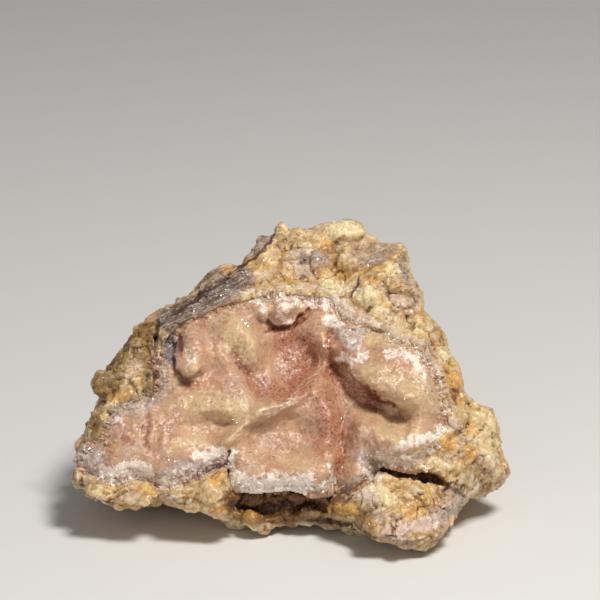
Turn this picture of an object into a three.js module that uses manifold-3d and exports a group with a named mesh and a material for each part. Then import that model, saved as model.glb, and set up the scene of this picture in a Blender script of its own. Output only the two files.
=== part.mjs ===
// A hand specimen of magnesite: a wedge of yellow-brown granular host rock, whose front is a broad
// shallow hollow lined with a lumpy crystalline crust with a broken white rim.
//
// The rock is drawn in its own face frame: x runs across the specimen, z up its face and y into it.
// The face leans back by LEAN from the vertical, so the last step turns everything by LEAN, cuts the
// underside flat where the specimen rests and puts the origin at the middle of its foot.
import * as THREE from "three";
import { mergeVertices } from "three/addons/utils/BufferGeometryUtils.js";
import Module from "manifold-3d";

const wasm = await Module();
wasm.setup();

// Driving dimensions, in millimetres and degrees.
const WIDTH = 90; // across the specimen at its widest
const LEAN = 20; // how far the face leans back from the vertical
const BACK = 23; // how far the back lies behind the middle of the rock
const FLOOR = 6.1; // height of the resting plane above the lowest point of the face, as the face leans
const CRUST_THICKNESS = 8.5; // of the crystalline crust, away from its lumps and hollows
const THINNEST_CRUST = 1.8; // at the bottom of its deepest groove
const CLEARANCE = 0.3; // between the crust and the rock that carries it
const UNDERCUT = 9.5; // how far the rock is set back below the low rim of the crust
const BODY_DETAIL = 13; // how finely the body is divided
const GRAIN_COUNT = 230; // blocky grains over the whole body
const GRAIN_HEIGHT = 1.1;
const JOINT_WIDTH = 2.4; // of the joints between the grains
const JOINT_DEPTH = 1.2;
const GRAIN_ALLOWANCE = 0.3; // the body is drawn this much larger, because the joints sink it
const SCATTERED_LUMPS = 26;
const CRUST_CELL = 1.4; // how finely the front of the crust is divided
const RIM_WIDTH = 4; // over which the crust bends back at its broken edge
const SEED = 7;

// Depths well before and behind the whole specimen.
const FAR_FRONT = -60;
const FAR_BACK = 40;

// Points on the face are given in pixels of the photograph and turned into millimetres by at().
const OUTLINE_LEFT = 68;
const OUTLINE_RIGHT = 509;
const ORIGIN_PIXEL = { x: 290, y: 550 };
const MM_PER_PIXEL = WIDTH / (OUTLINE_RIGHT - OUTLINE_LEFT);
const at = ([px, py]) =>
  new THREE.Vector2((px - ORIGIN_PIXEL.x) * MM_PER_PIXEL, (ORIGIN_PIXEL.y - py) * MM_PER_PIXEL);

// The outline of the whole specimen, from its top left knob round by the right.
const OUTLINE = [
  [281, 214], [289, 221], [301, 223], [317, 223], [329, 216], [343, 214], [356, 215], [366, 221],
  [375, 229], [389, 240], [405, 244], [411, 262], [415, 279], [425, 289], [427, 303], [433, 318],
  [439, 331], [447, 344], [452, 359], [464, 367], [470, 387], [475, 402], [489, 407], [499, 419],
  [502, 437], [507, 452], [509, 466], [503, 484], [490, 489], [480, 500], [464, 500], [461, 514],
  [449, 526], [433, 537], [414, 548], [398, 550], [384, 544], [366, 540], [347, 536], [330, 529],
  [311, 525], [286, 529], [265, 533], [244, 531], [228, 525], [211, 514], [190, 511], [160, 507],
  [137, 509], [123, 508], [116, 501], [96, 503], [80, 498], [71, 486], [68, 468], [73, 450],
  [78, 433], [84, 418], [88, 402], [87, 384], [93, 371], [106, 359], [124, 342], [136, 326],
  [161, 308], [190, 292], [212, 273], [234, 263], [244, 256], [252, 241], [260, 232], [274, 224],
].map(at);

// The outline of the crust on the face, from its lower left corner round by the bottom.
const CRUST_OUTLINE = [
  [79, 459], [83, 474], [101, 478], [110, 486], [120, 485], [132, 479], [146, 481], [158, 487],
  [169, 490], [184, 486], [198, 480], [213, 471], [226, 466], [229, 487], [257, 489], [289, 486],
  [303, 489], [311, 494], [330, 492], [341, 488], [352, 491], [361, 486], [372, 478], [377, 470],
  [376, 461], [398, 467], [411, 470], [420, 461], [430, 456], [440, 438], [450, 423], [444, 408],
  [440, 393], [438, 380], [434, 368], [425, 361], [421, 351], [410, 342], [394, 341], [385, 331],
  [365, 325], [350, 320], [340, 313], [329, 297], [312, 293], [275, 294], [246, 297], [226, 304],
  [203, 315], [184, 321], [168, 334], [161, 347], [157, 368], [154, 390], [136, 399], [114, 407],
  [107, 422], [103, 436], [91, 443],
].map(at);

// What stands out of the crust or sinks into it: a middle, a radius across and up, a height.
const CRUST_LUMPS = {
  tongue: { at: [191, 353], across: 17, up: 24, height: 3.2 },
  tongueTip: { at: [194, 370], across: 13, up: 9, height: 1.6 },
  creamMass: { at: [238, 345], across: 27, up: 27, height: 2.4 },
  middleSwell: { at: [225, 400], across: 46, up: 24, height: 1.6 },
  leftSwell: { at: [150, 440], across: 44, up: 28, height: 1.6 },
  upperHollow: { at: [293, 362], across: 33, up: 36, height: -4.6 },
  lowerHollow: { at: [286, 440], across: 40, up: 27, height: -3.2 },
  leftDip: { at: [205, 428], across: 34, up: 12, height: -1.2 },
  whiteCrystals: { at: [284, 308], across: 13, up: 12, height: 2.6 },
  topCrystals: { at: [262, 308], across: 10, up: 10, height: 1.6 },
  greyCrystals: { at: [352, 338], across: 16, up: 18, height: 1.4 },
  rightLobe: { at: [396, 376], across: 44, up: 36, height: 3.9 },
  rightLobeLow: { at: [417, 404], across: 26, up: 18, height: 2.4 },
  underLobe: { at: [368, 428], across: 24, up: 15, height: 1.4 },
  lowRightSwell: { at: [381, 444], across: 14, up: 15, height: 2.6 },
  lowRightRim: { at: [408, 434], across: 22, up: 16, height: 2.8 },
  bluePocket: { at: [169, 345], across: 7, up: 12, height: -2.4 },
  lowerRightFace: { at: [314, 462], across: 22, up: 20, height: 1.0 },
};

// Long features of the crust: a line, its half width, and a height, negative for a groove.
const CRUST_LINES = {
  crest: {
    line: [[226, 440], [244, 425], [262, 412], [290, 402], [311, 387], [322, 368], [328, 348]],
    half: 6,
    height: 2.8,
  },
  deepGroove: {
    line: [[318, 362], [332, 376], [348, 391], [366, 402], [384, 408], [399, 415]],
    half: 11,
    height: -4.8,
  },
  uprightGroove: { line: [[333, 333], [334, 350], [338, 366]], half: 8, height: -2.4 },
  lowGroove: { line: [[346, 416], [341, 436], [344, 460], [338, 484]], half: 8, height: -3.0 },
  creaseLeft: { line: [[228, 345], [240, 361], [254, 381], [262, 392]], half: 7, height: -1.8 },
  creaseLow: { line: [[208, 421], [230, 425], [249, 421]], half: 6, height: -1.0 },
  topGroove: { line: [[262, 326], [284, 323], [299, 316], [311, 306]], half: 8, height: -2.6 },
  tongueCrack: { line: [[177, 333], [180, 346], [183, 358]], half: 5, height: -2.0 },
};

// Cracks right through the face of the rock: a line, a half width in pixels and a depth.
const CRACKS = {
  lowerRight: { line: [[376, 468], [394, 471], [414, 474], [434, 478], [450, 486]], half: 6, depth: 7 },
  leftWall: { line: [[165, 322], [156, 338], [153, 358], [156, 378], [153, 398]], half: 3, depth: 8 },
  greyLedge: { line: [[205, 289], [226, 276], [243, 263]], half: 2.4, depth: 6 },
  belowRim: { line: [[234, 494], [262, 495], [288, 494]], half: 4, depth: 9 },
  lowMiddle: { line: [[236, 512], [262, 512], [300, 507], [340, 512], [372, 524]], half: 2.6, depth: 6 },
};

// Lumps of rock that show by themselves: a middle, a size and how far they stand out of the face.
const NAMED_LUMPS = [
  { at: [281, 229], size: [8, 12, 15], out: 0.2, depth: 5 },
  { at: [263, 240], size: [12, 14, 12], out: 0.1, depth: 6 },
  { at: [304, 236], size: [18, 18, 13], out: 0.2, depth: 5 },
  { at: [346, 231], size: [26, 24, 17], out: 0.2, depth: 4 },
  { at: [382, 250], size: [16, 18, 12], out: 0.2, depth: 3 },
  { at: [316, 262], size: [17, 14, 12], out: 0.4 },
  { at: [352, 262], size: [16, 14, 11], out: 0.4 },
  { at: [268, 262], size: [12, 12, 11], out: 0.4 },
  { at: [238, 281], size: [10, 8, 8], out: 0.3 },
  { at: [290, 268], size: [13, 12, 10], out: 0.2 },
  { at: [333, 287], size: [17, 12, 10], out: 0.3 },
  { at: [370, 299], size: [14, 12, 14], out: 0.4 },
  { at: [398, 272], size: [13, 12, 14], out: 0.2 },
  { at: [415, 296], size: [12, 12, 10], out: 0.1 },
  { at: [446, 355], size: [9, 12, 8], out: 0.1 },
  { at: [454, 385], size: [14, 14, 17], out: 0.2 },
  { at: [456, 418], size: [16, 14, 15], out: 0.3 },
  { at: [484, 430], size: [15, 16, 16], out: 0.1 },
  { at: [462, 450], size: [20, 14, 17], out: 0.4 },
  { at: [484, 462], size: [16, 16, 17], out: 0.2 },
  { at: [380, 500], size: [17, 14, 18], out: 0.3 },
  { at: [415, 498], size: [18, 14, 16], out: 0.4 },
  { at: [443, 505], size: [14, 14, 14], out: 0.2 },
  { at: [400, 530], size: [20, 14, 14], out: 0.3 },
  { at: [372, 524], size: [14, 12, 10], out: 0.2 },
  { at: [97, 490], size: [14, 10, 10], out: 0.4 },
  { at: [142, 494], size: [20, 12, 12], out: 0.5 },
  { at: [182, 497], size: [16, 10, 11], out: 0.4 },
  { at: [211, 492], size: [16, 12, 17], out: 0.4 },
  { at: [254, 501], size: [16, 12, 9], out: 0.5 },
  { at: [288, 498], size: [14, 10, 9], out: 0.5 },
  { at: [326, 502], size: [16, 10, 10], out: 0.5 },
  { at: [262, 522], size: [20, 14, 10], out: 0.4 },
  { at: [228, 512], size: [12, 12, 12], out: 0.3 },
  { at: [306, 518], size: [18, 12, 9], out: 0.3 },
  { at: [103, 384], size: [15, 12, 16], out: 0.3 },
  { at: [134, 350], size: [13, 12, 14], out: 0.3 },
  { at: [131, 380], size: [14, 12, 13], out: 0.3 },
  { at: [98, 424], size: [12, 12, 16], out: 0.3 },
  { at: [78, 478], size: [8, 10, 12], out: 0.2 },
];

// Polygon and line distances on the face.
function distanceToEdge(p, a, b) {
  const edge = b.clone().sub(a);
  const along = THREE.MathUtils.clamp(p.clone().sub(a).dot(edge) / edge.lengthSq(), 0, 1);
  return p.distanceTo(a.clone().addScaledVector(edge, along));
}

function distanceToLine(p, points) {
  let nearest = Infinity;
  for (let i = 1; i < points.length; i++) {
    nearest = Math.min(nearest, distanceToEdge(p, points[i - 1], points[i]));
  }
  return nearest;
}

function inside(p, polygon) {
  let odd = false;
  polygon.forEach((a, i) => {
    const b = polygon[(i + 1) % polygon.length];
    if (a.y > p.y !== b.y > p.y && p.x < a.x + ((b.x - a.x) * (p.y - a.y)) / (b.y - a.y)) odd = !odd;
  });
  return odd;
}

// Distance to a closed outline, negative inside it.
function signedDistance(p, polygon) {
  const reach = distanceToLine(p, [...polygon, polygon[0]]);
  return inside(p, polygon) ? -reach : reach;
}

// Smooth stand-ins for Math.max and a step, so that faces meet in a worn edge.
function smoothMax(a, b, round) {
  const h = Math.max(round - Math.abs(a - b), 0) / round;
  return Math.max(a, b) + (h * h * round) / 4;
}

const rise = (from, to, x) => THREE.MathUtils.smoothstep(x, from, to);
const fall = (from, to, x) => 1 - rise(from, to, x);

// A seeded random source, so that every run makes the same rock.
function randomSource(seed) {
  let state = seed;
  return () => {
    state = (state + 0x6d2b79f5) | 0;
    let t = Math.imul(state ^ (state >>> 15), 1 | state);
    t = (t + Math.imul(t ^ (t >>> 7), 61 | t)) ^ t;
    return ((t ^ (t >>> 14)) >>> 0) / 4294967296;
  };
}

const FULL_TURN = 2 * Math.PI;
const random = randomSource(SEED);
const between = (low, high) => low + (high - low) * random();

// Solids in and out of the boolean library.
function solidOf(geometry) {
  const bare = geometry.index ? geometry.toNonIndexed() : geometry.clone();
  bare.deleteAttribute("normal");
  bare.deleteAttribute("uv");
  const merged = mergeVertices(bare, 1e-4);
  const vertProperties = merged.attributes.position.array;
  const triVerts = new Uint32Array(merged.index.array);
  return new wasm.Manifold(new wasm.Mesh({ numProp: 3, vertProperties, triVerts }));
}

function geometryOf(solid) {
  const mesh = solid.getMesh();
  const geometry = new THREE.BufferGeometry();
  geometry.setAttribute("position", new THREE.BufferAttribute(mesh.vertProperties, mesh.numProp));
  geometry.setIndex(new THREE.BufferAttribute(mesh.triVerts, 1));
  return geometry;
}

// The largest body of a solid, without the crumbs that cracks cut loose.
function largest(solid) {
  return solid.decompose().reduce((best, body) => (body.volume() > best.volume() ? body : best));
}

// The mean plane of the crust: it leans back a little more than the rock's own face frame.
const crustPlane = (x, z) => -20 + 0.34 * (z - 14) - 0.03 * x;

// The slopes that fall away from the crust: a point of the face where each starts, its depth there,
// its direction on the face and how fast it goes back.
const SLOPES = {
  shoulder: { start: [296, 297], depth: -8.5, towards: [0.08, 1], fall: 1.0 },
  upperLeft: { start: [196, 304], depth: -11, towards: [-0.53, 0.85], fall: 1.25 },
  leftWall: { start: [126, 398], depth: -14, towards: [-0.82, 0.57], fall: 1.15 },
  rightWall: { start: [452, 420], depth: -15, towards: [1, 0.1], fall: 0.8 },
  upperRight: { start: [418, 345], depth: -11, towards: [0.85, 0.5], fall: 0.8 },
};

// Broad swells and ledges of the rock itself: a middle, a radius across and up, a height.
const ROCK_SWELLS = {
  lowerRightLobe: { at: [410, 512], across: 50, up: 34, height: 2.4 },
  rightMass: { at: [476, 440], across: 34, up: 52, height: 2.6 },
  upperRightMass: { at: [392, 290], across: 34, up: 44, height: 2.2 },
  crown: { at: [340, 240], across: 44, up: 26, height: 1.2 },
  streakyLedge: { at: [222, 284], across: 30, up: 14, height: 2.4 },
  leftShoulder: { at: [116, 376], across: 24, up: 40, height: 2.0 },
};

// The height of a soft mound at a point of the face.
function mound(p, swell) {
  const away = p.clone().sub(at(swell.at));
  const reach = Math.hypot(away.x / (swell.across * MM_PER_PIXEL), away.y / (swell.up * MM_PER_PIXEL));
  return swell.height * fall(0.45, 1.35, reach);
}

// How far the front of the rock lies from the face frame, around and below the crust.
function rockFront(x, z) {
  const p = new THREE.Vector2(x, z);
  let depth = crustPlane(x, z) + 0.5;
  for (const slope of Object.values(SLOPES)) {
    const towards = new THREE.Vector2(...slope.towards).normalize();
    const along = towards.dot(p.clone().sub(at(slope.start)));
    depth = smoothMax(depth, slope.depth + slope.fall * along, 4);
  }
  const underRim = fall(11.5, 13.5, z) * rise(-15, -11, x) * fall(9, 14, x);
  const swells = Object.values(ROCK_SWELLS).reduce((sum, swell) => sum + mound(p, swell), 0);
  return depth + UNDERCUT * underRim - swells;
}

// Slow undulation of the broken surfaces, in millimetres.
function undulation(x, y, z) {
  const first = 0.8 * Math.sin(0.23 * x + 0.4 * z);
  const second = 0.7 * Math.sin(0.31 * y - 0.27 * z + 1.3);
  const third = 0.6 * Math.sin(0.5 * x - 0.21 * y + 2.1);
  return first + second + third;
}

// The broken planes of the back: a direction and the distance of the plane from the middle.
const BACK_PLANES = [
  { towards: [0.05, 1, 0.1], distance: BACK },
  { towards: [-0.75, 0.8, 0.35], distance: 31 },
  { towards: [0.8, 0.75, 0.2], distance: 32 },
  { towards: [0.3, 0.8, 0.75], distance: 34 },
  { towards: [-0.4, 0.75, 0.7], distance: 32 },
].map((plane) => ({ ...plane, towards: new THREE.Vector3(...plane.towards).normalize() }));

const MIDDLE = new THREE.Vector3(2, 2, 28);

// The rock as a field: negative inside it, zero on its surface.
function rockField(p) {
  const widest = -5 + 0.27 * Math.max(0, p.z - 20);
  const taper = p.y > widest ? 0.32 * (p.y - widest) : 0.12 * (widest - p.y);
  const underside = fall(10, 24, p.z);
  const fromOutline = signedDistance(new THREE.Vector2(p.x, p.z), OUTLINE) - GRAIN_ALLOWANCE;
  let field = fromOutline + taper * (1 - 0.6 * underside);
  field = smoothMax(field, 0.8 * (rockFront(p.x, p.z) - p.y), 2);
  const fromMiddle = p.clone().sub(MIDDLE);
  const bumps = undulation(p.x, p.y, p.z);
  for (const plane of BACK_PLANES) {
    field = smoothMax(field, fromMiddle.dot(plane.towards) - plane.distance + 0.9 * bumps, 3);
  }
  return field;
}

// The point where a ray from the middle of the rock leaves it.
function surfaceAlong(direction) {
  let near = 5;
  let far = 70;
  for (let i = 0; i < 24; i++) {
    const r = (near + far) / 2;
    if (rockField(MIDDLE.clone().addScaledVector(direction, r)) < 0) near = r;
    else far = r;
  }
  return MIDDLE.clone().addScaledVector(direction, near);
}

// The depth at which the rock starts behind a point of the face.
function depthBehind(x, z) {
  const STEP = 0.4;
  let y = FAR_FRONT;
  while (y < 20 && rockField(new THREE.Vector3(x, y, z)) > 0) y += STEP;
  return y;
}

// Directions spread evenly over a sphere by the golden angle.
function spreadDirections(count) {
  return Array.from({ length: count }, (_, i) => {
    const up = 1 - (2 * (i + 0.5)) / count;
    const turn = i * Math.PI * (3 - Math.sqrt(5));
    const flat = Math.sqrt(1 - up * up);
    return new THREE.Vector3(flat * Math.cos(turn), flat * Math.sin(turn), up);
  });
}

// The blocky grains of the rock: a middle on the surface, a height and a tilt of its flat top.
const GRAINS = spreadDirections(GRAIN_COUNT).map((direction) => ({
  middle: surfaceAlong(direction).add(new THREE.Vector3(between(-2, 2), between(-2, 2), between(-2, 2))),
  height: between(-1, 1) * GRAIN_HEIGHT,
  tilt: new THREE.Vector3(between(-1, 1), between(-1, 1), between(-1, 1)).multiplyScalar(0.3),
}));

// The height of the grain at a point of the surface: flat on top, with a joint round it.
function grainHeight(p) {
  const measured = GRAINS.map((grain) => ({ grain, away: grain.middle.distanceTo(p) }));
  const [first, second] = measured.sort((a, b) => a.away - b.away);
  const joint = fall(0, JOINT_WIDTH, second.away - first.away);
  const fromMiddle = p.clone().sub(first.grain.middle);
  return first.grain.height + first.grain.tilt.dot(fromMiddle) - JOINT_DEPTH * joint;
}

// The main body: a sphere's points pushed out to the surface of the field, and its grains.
function bodySolid() {
  const sphere = new THREE.IcosahedronGeometry(1, BODY_DETAIL);
  sphere.deleteAttribute("normal");
  sphere.deleteAttribute("uv");
  const body = mergeVertices(sphere, 1e-4);
  const points = body.attributes.position;
  for (let i = 0; i < points.count; i++) {
    const direction = new THREE.Vector3().fromBufferAttribute(points, i).normalize();
    const place = surfaceAlong(direction);
    place.addScaledVector(direction, grainHeight(place));
    points.setXYZ(i, ...place.toArray());
  }
  return solidOf(body);
}

// One angular lump: a solid with flat faces, its corners moved a little at random.
function lumpSolid(middle, radii) {
  const lump = new THREE.IcosahedronGeometry(1, 0);
  const points = lump.attributes.position;
  const moved = new Map();
  for (let i = 0; i < points.count; i++) {
    const corner = new THREE.Vector3().fromBufferAttribute(points, i);
    const key = corner.toArray().map((value) => value.toFixed(3)).join();
    if (!moved.has(key)) moved.set(key, corner.clone().multiplyScalar(between(0.82, 1.16)));
    points.setXYZ(i, ...moved.get(key).toArray());
  }
  lump.rotateX(between(0, FULL_TURN));
  lump.rotateY(between(0, FULL_TURN));
  lump.rotateZ(between(0, FULL_TURN));
  lump.scale(...radii);
  lump.translate(...middle.toArray());
  return solidOf(lump);
}

// The lumps that show by themselves in the face, at their own places.
function namedLumps() {
  return NAMED_LUMPS.map((lump) => {
    const [x, z] = at(lump.at).toArray();
    const radii = lump.size.map((pixels) => pixels * MM_PER_PIXEL);
    const y = lump.depth ?? depthBehind(x, z);
    return lumpSolid(new THREE.Vector3(x, y + radii[1] * (0.6 - lump.out), z), radii);
  });
}

// Smaller lumps all over the rock, spread evenly by the golden angle, but not under the crust.
function scatteredLumps(count) {
  const lumps = [];
  for (const direction of spreadDirections(count)) {
    const place = surfaceAlong(direction);
    const face = new THREE.Vector2(place.x, place.z);
    const size = between(3.5, 6.5);
    const radii = [size * between(0.8, 1.3), size * between(0.7, 1.1), size * between(0.6, 1)];
    const onCrust = place.y < 0 && signedDistance(face, CRUST_OUTLINE) < 3;
    const nearNamed = place.y < 0 && NAMED_LUMPS.some((lump) => at(lump.at).distanceTo(face) < 3);
    if (onCrust || nearNamed) continue;
    const sink = signedDistance(face, OUTLINE) > -3 ? 0.85 : 0.6;
    lumps.push(lumpSolid(place.addScaledVector(direction, -size * sink), radii));
  }
  return lumps;
}

// A prism that follows a line on the face, from before the face to a depth behind it.
function crackSolid({ line, half, depth }) {
  const points = line.map(at);
  const width = half * MM_PER_PIXEL;
  const side = (sign) => points.map((p, i) => {
    const before = points[Math.max(i - 1, 0)];
    const after = points[Math.min(i + 1, points.length - 1)];
    const across = after.clone().sub(before).normalize().rotateAround(new THREE.Vector2(), Math.PI / 2);
    const taper = i === 0 || i === points.length - 1 ? 0.25 : 1;
    return p.clone().addScaledVector(across, sign * width * taper);
  });
  const outline = [...side(1), ...side(-1).reverse()];
  const middle = points[Math.floor(points.length / 2)];
  const reach = depthBehind(middle.x, middle.y) + depth;
  return prism(outline, FAR_FRONT, reach);
}

// An outline on the face, pushed straight through from one depth to another.
function prism(outline, from, to) {
  const settings = { depth: to - from, bevelEnabled: false };
  const geometry = new THREE.ExtrudeGeometry(new THREE.Shape(outline), settings);
  geometry.rotateX(Math.PI / 2);
  geometry.translate(0, to, 0);
  return solidOf(geometry);
}

// An outline moved outwards by a distance, corner by corner.
function grown(polygon, by) {
  return polygon.map((p, i) => {
    const before = polygon[(i + polygon.length - 1) % polygon.length];
    const after = polygon[(i + 1) % polygon.length];
    const tangent = after.clone().sub(before).normalize();
    const out = new THREE.Vector2(tangent.y, -tangent.x);
    const sign = inside(p.clone().addScaledVector(out, 0.05), polygon) ? -1 : 1;
    return p.clone().addScaledVector(out, by * sign);
  });
}

// The relief of the crust over its mean plane, in millimetres towards the viewer.
function crustRelief(x, z) {
  const p = new THREE.Vector2(x, z);
  let height = 0;
  for (const lump of Object.values(CRUST_LUMPS)) height += mound(p, lump);
  for (const feature of Object.values(CRUST_LINES)) {
    const reach = distanceToLine(p, feature.line.map(at)) / (feature.half * MM_PER_PIXEL);
    height += feature.height * fall(0.1, 2, reach);
  }
  return height;
}

// The front of the crust: its plane and relief, bending back over its broken rim.
function crustFront(x, z) {
  const fromRim = -signedDistance(new THREE.Vector2(x, z), CRUST_OUTLINE);
  const rim = 1 - THREE.MathUtils.clamp(fromRim / RIM_WIDTH, 0, 1);
  const low = fall(16, 24, z);
  const front = crustPlane(x, z) - crustRelief(x, z) + (1.2 + 2.6 * low) * rim * rim;
  return Math.min(front, crustBack(x, z) - THINNEST_CRUST);
}

const crustBack = (x, z) => crustPlane(x, z) + CRUST_THICKNESS;

// A block around the crust, whose front follows one surface and whose back another. One cell is
// enough where both are flat.
function slab(front, back, cell = Infinity) {
  const low = new THREE.Vector2(-45, 10);
  const high = new THREE.Vector2(36, 54);
  const across = Math.max(1, Math.round((high.x - low.x) / cell));
  const up = Math.max(1, Math.round((high.y - low.y) / cell));
  const block = new THREE.BoxGeometry(high.x - low.x, 2, high.y - low.y, across, 1, up);
  block.translate((low.x + high.x) / 2, 0, (low.y + high.y) / 2);
  const points = block.attributes.position;
  for (let i = 0; i < points.count; i++) {
    const [x, y, z] = [points.getX(i), points.getY(i), points.getZ(i)];
    points.setY(i, y < 0 ? front(x, z) : back(x, z));
  }
  return solidOf(block);
}

// Everything of a slab that lies within an outline on the face.
const within = (outline, block) => block.intersect(prism(outline, FAR_FRONT, FAR_BACK));

const farFront = () => FAR_FRONT;
const farBack = () => FAR_BACK;

// The hollow that the crust lines, open to the front.
function recess() {
  const bottom = (x, z) => crustBack(x, z) + CLEARANCE;
  return within(grown(CRUST_OUTLINE, CLEARANCE), slab(farFront, bottom));
}

// The rock in the face frame: body, lumps, cracks and the hollow for the crust.
function rockPiece() {
  let rock = bodySolid();
  for (const lump of [...scatteredLumps(SCATTERED_LUMPS), ...namedLumps()]) rock = rock.add(lump);
  for (const crack of Object.values(CRACKS)) rock = rock.subtract(crackSolid(crack));
  return rock.subtract(recess());
}

// The crust: everything between its relief and its flat back, within its outline.
function crustPiece() {
  const behindRelief = slab(crustFront, farBack, CRUST_CELL);
  return within(CRUST_OUTLINE, behindRelief.intersect(slab(farFront, crustBack)));
}

// A piece turned to lean back, with all that lies below the resting plane cut off.
function standing(solid) {
  const geometry = geometryOf(solid);
  geometry.rotateX(THREE.MathUtils.degToRad(-LEAN));
  geometry.translate(0, 0, -FLOOR);
  const below = new THREE.BoxGeometry(300, 300, 50);
  below.translate(0, 0, -25);
  return largest(solidOf(geometry).subtract(solidOf(below)));
}

const rockSolid = standing(rockPiece());
const crustSolid = standing(crustPiece());
const whole = geometryOf(rockSolid.add(crustSolid));
const bounds = new THREE.Box3().setFromBufferAttribute(whole.attributes.position);
const foot = bounds.getCenter(new THREE.Vector3()).setZ(bounds.min.z);

function pieceMesh(name, solid, material) {
  const mesh = new THREE.Mesh(geometryOf(solid).toNonIndexed(), material);
  mesh.geometry.computeVertexNormals();
  mesh.name = name;
  mesh.position.copy(foot).negate();
  return mesh;
}

const hostRockFinish = new THREE.MeshStandardMaterial({ color: 0xb9975a, roughness: 0.75, metalness: 0 });
const crustFinish = new THREE.MeshStandardMaterial({ color: 0xc79b78, roughness: 0.4, metalness: 0 });

const specimen = new THREE.Group();
specimen.add(pieceMesh("host_rock", rockSolid, hostRockFinish));
specimen.add(pieceMesh("crystal_crust", crustSolid, crustFinish));

export default specimen;
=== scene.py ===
# %% [markdown]
# # A hand specimen of magnesite
#
# The specimen is one wedge of granular, yellow-brown host rock. Its front is a broad shallow hollow,
# lined with a crust of tiny grown-together crystals in peach, pink-brown and cream, and the crust
# breaks off in a sugary white rim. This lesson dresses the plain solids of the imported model: it gives
# the rock its packed grains, gives the crust its relief and sparkle, and colours both with finishes
# that are worked out from the shape.

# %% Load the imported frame
import math

import bmesh
import bpy
import numpy as np
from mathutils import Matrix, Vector, kdtree, noise
from mathutils.bvhtree import BVHTree


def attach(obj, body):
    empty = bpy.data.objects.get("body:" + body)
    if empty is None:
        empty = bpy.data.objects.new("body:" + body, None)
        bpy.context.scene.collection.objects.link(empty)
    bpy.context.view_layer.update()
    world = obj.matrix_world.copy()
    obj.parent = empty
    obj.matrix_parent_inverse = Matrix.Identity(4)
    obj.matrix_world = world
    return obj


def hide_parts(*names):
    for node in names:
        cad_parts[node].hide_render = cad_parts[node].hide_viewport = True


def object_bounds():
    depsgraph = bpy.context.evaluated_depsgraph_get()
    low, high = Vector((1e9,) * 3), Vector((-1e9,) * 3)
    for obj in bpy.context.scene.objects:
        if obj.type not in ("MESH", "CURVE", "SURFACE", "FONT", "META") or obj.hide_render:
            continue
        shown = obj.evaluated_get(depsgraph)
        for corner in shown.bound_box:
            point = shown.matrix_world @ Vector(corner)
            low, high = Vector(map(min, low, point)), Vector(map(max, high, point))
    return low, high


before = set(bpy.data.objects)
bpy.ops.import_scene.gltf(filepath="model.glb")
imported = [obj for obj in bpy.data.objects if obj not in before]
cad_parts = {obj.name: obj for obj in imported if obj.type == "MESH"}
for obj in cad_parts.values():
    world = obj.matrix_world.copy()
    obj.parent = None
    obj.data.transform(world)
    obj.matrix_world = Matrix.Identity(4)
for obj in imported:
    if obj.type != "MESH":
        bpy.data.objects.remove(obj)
cad_box = [list(corner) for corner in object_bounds()]
print("nodes:", sorted(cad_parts), "box:", cad_box)

# %% [markdown]
# ## The face frame
#
# The specimen leans back, so its front is easiest to describe in a frame of its own: u runs across
# it, w runs up its face, and t goes straight into the rock. Everything that was read off the
# photograph is a point on that face, in pixels, and one pixel is a fifth of a millimetre.
# The frame's place follows from the crust, whose left and lower ends are known on the photograph.

# %% The face frame
LEAN = math.radians(20)
WIDTH = 0.090
LEFT_PIXEL, RIGHT_PIXEL = 68, 509
ORIGIN_PIXEL = np.array([290.0, 550.0])
PIXEL = WIDTH / (RIGHT_PIXEL - LEFT_PIXEL)
MM = 0.001
FLOOR = 6.1 * MM
CRUST_LEFT_PIXEL = 79
CRUST_LOW_PIXEL = 494

ACROSS = np.array([1.0, 0.0, 0.0])
INTO = np.array([0.0, math.cos(LEAN), -math.sin(LEAN)])
UP_FACE = np.array([0.0, math.sin(LEAN), math.cos(LEAN)])


def points_of(mesh):
    """The places of a mesh's vertices, as rows of an array."""
    flat = np.empty(len(mesh.vertices) * 3)
    mesh.vertices.foreach_get("co", flat)
    return flat.reshape(-1, 3)


crust_points = points_of(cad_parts["crystal_crust"].data)
shift_x = crust_points[:, 0].min() - (CRUST_LEFT_PIXEL - ORIGIN_PIXEL[0]) * PIXEL
low_edge = (crust_points @ UP_FACE).min() - (ORIGIN_PIXEL[1] - CRUST_LOW_PIXEL) * PIXEL
shift_y = (low_edge + FLOOR * UP_FACE[2]) / UP_FACE[1]
SHIFT = np.array([shift_x, shift_y, -FLOOR])


def to_row(u, t, w):
    """Points of the face frame, in the frame of the part."""
    return SHIFT + np.outer(u, ACROSS) + np.outer(t, INTO) + np.outer(w, UP_FACE)


def to_face(points):
    """The u, t and w of points of the part."""
    moved = points - SHIFT
    return moved @ ACROSS, moved @ INTO, moved @ UP_FACE


def pixels_at(u, w):
    """Pixel columns and rows of places on the face."""
    return np.column_stack([ORIGIN_PIXEL[0] + u / PIXEL, ORIGIN_PIXEL[1] - w / PIXEL])


print("shift of the face frame in mm:", np.round(SHIFT / MM, 2))

# %% [markdown]
# ## The camera comes first
#
# The photograph looks straight at the leaning face, which is 20 degrees down. A long lens keeps the
# depth of the rock from stretching it. The middle of the picture is a known point of the face, so the
# camera stands back from that point, along the direction that goes into the rock.

# %% Camera
LENS = 200
SENSOR = 36
PICTURE = 600
REFERENCE_DEPTH = -14 * MM
frame_width = PICTURE * PIXEL
distance = frame_width * LENS / SENSOR
middle_u = (PICTURE / 2 - ORIGIN_PIXEL[0]) * PIXEL
middle_w = (ORIGIN_PIXEL[1] - PICTURE / 2) * PIXEL
aim = to_row([middle_u], [REFERENCE_DEPTH], [middle_w])[0]

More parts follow.
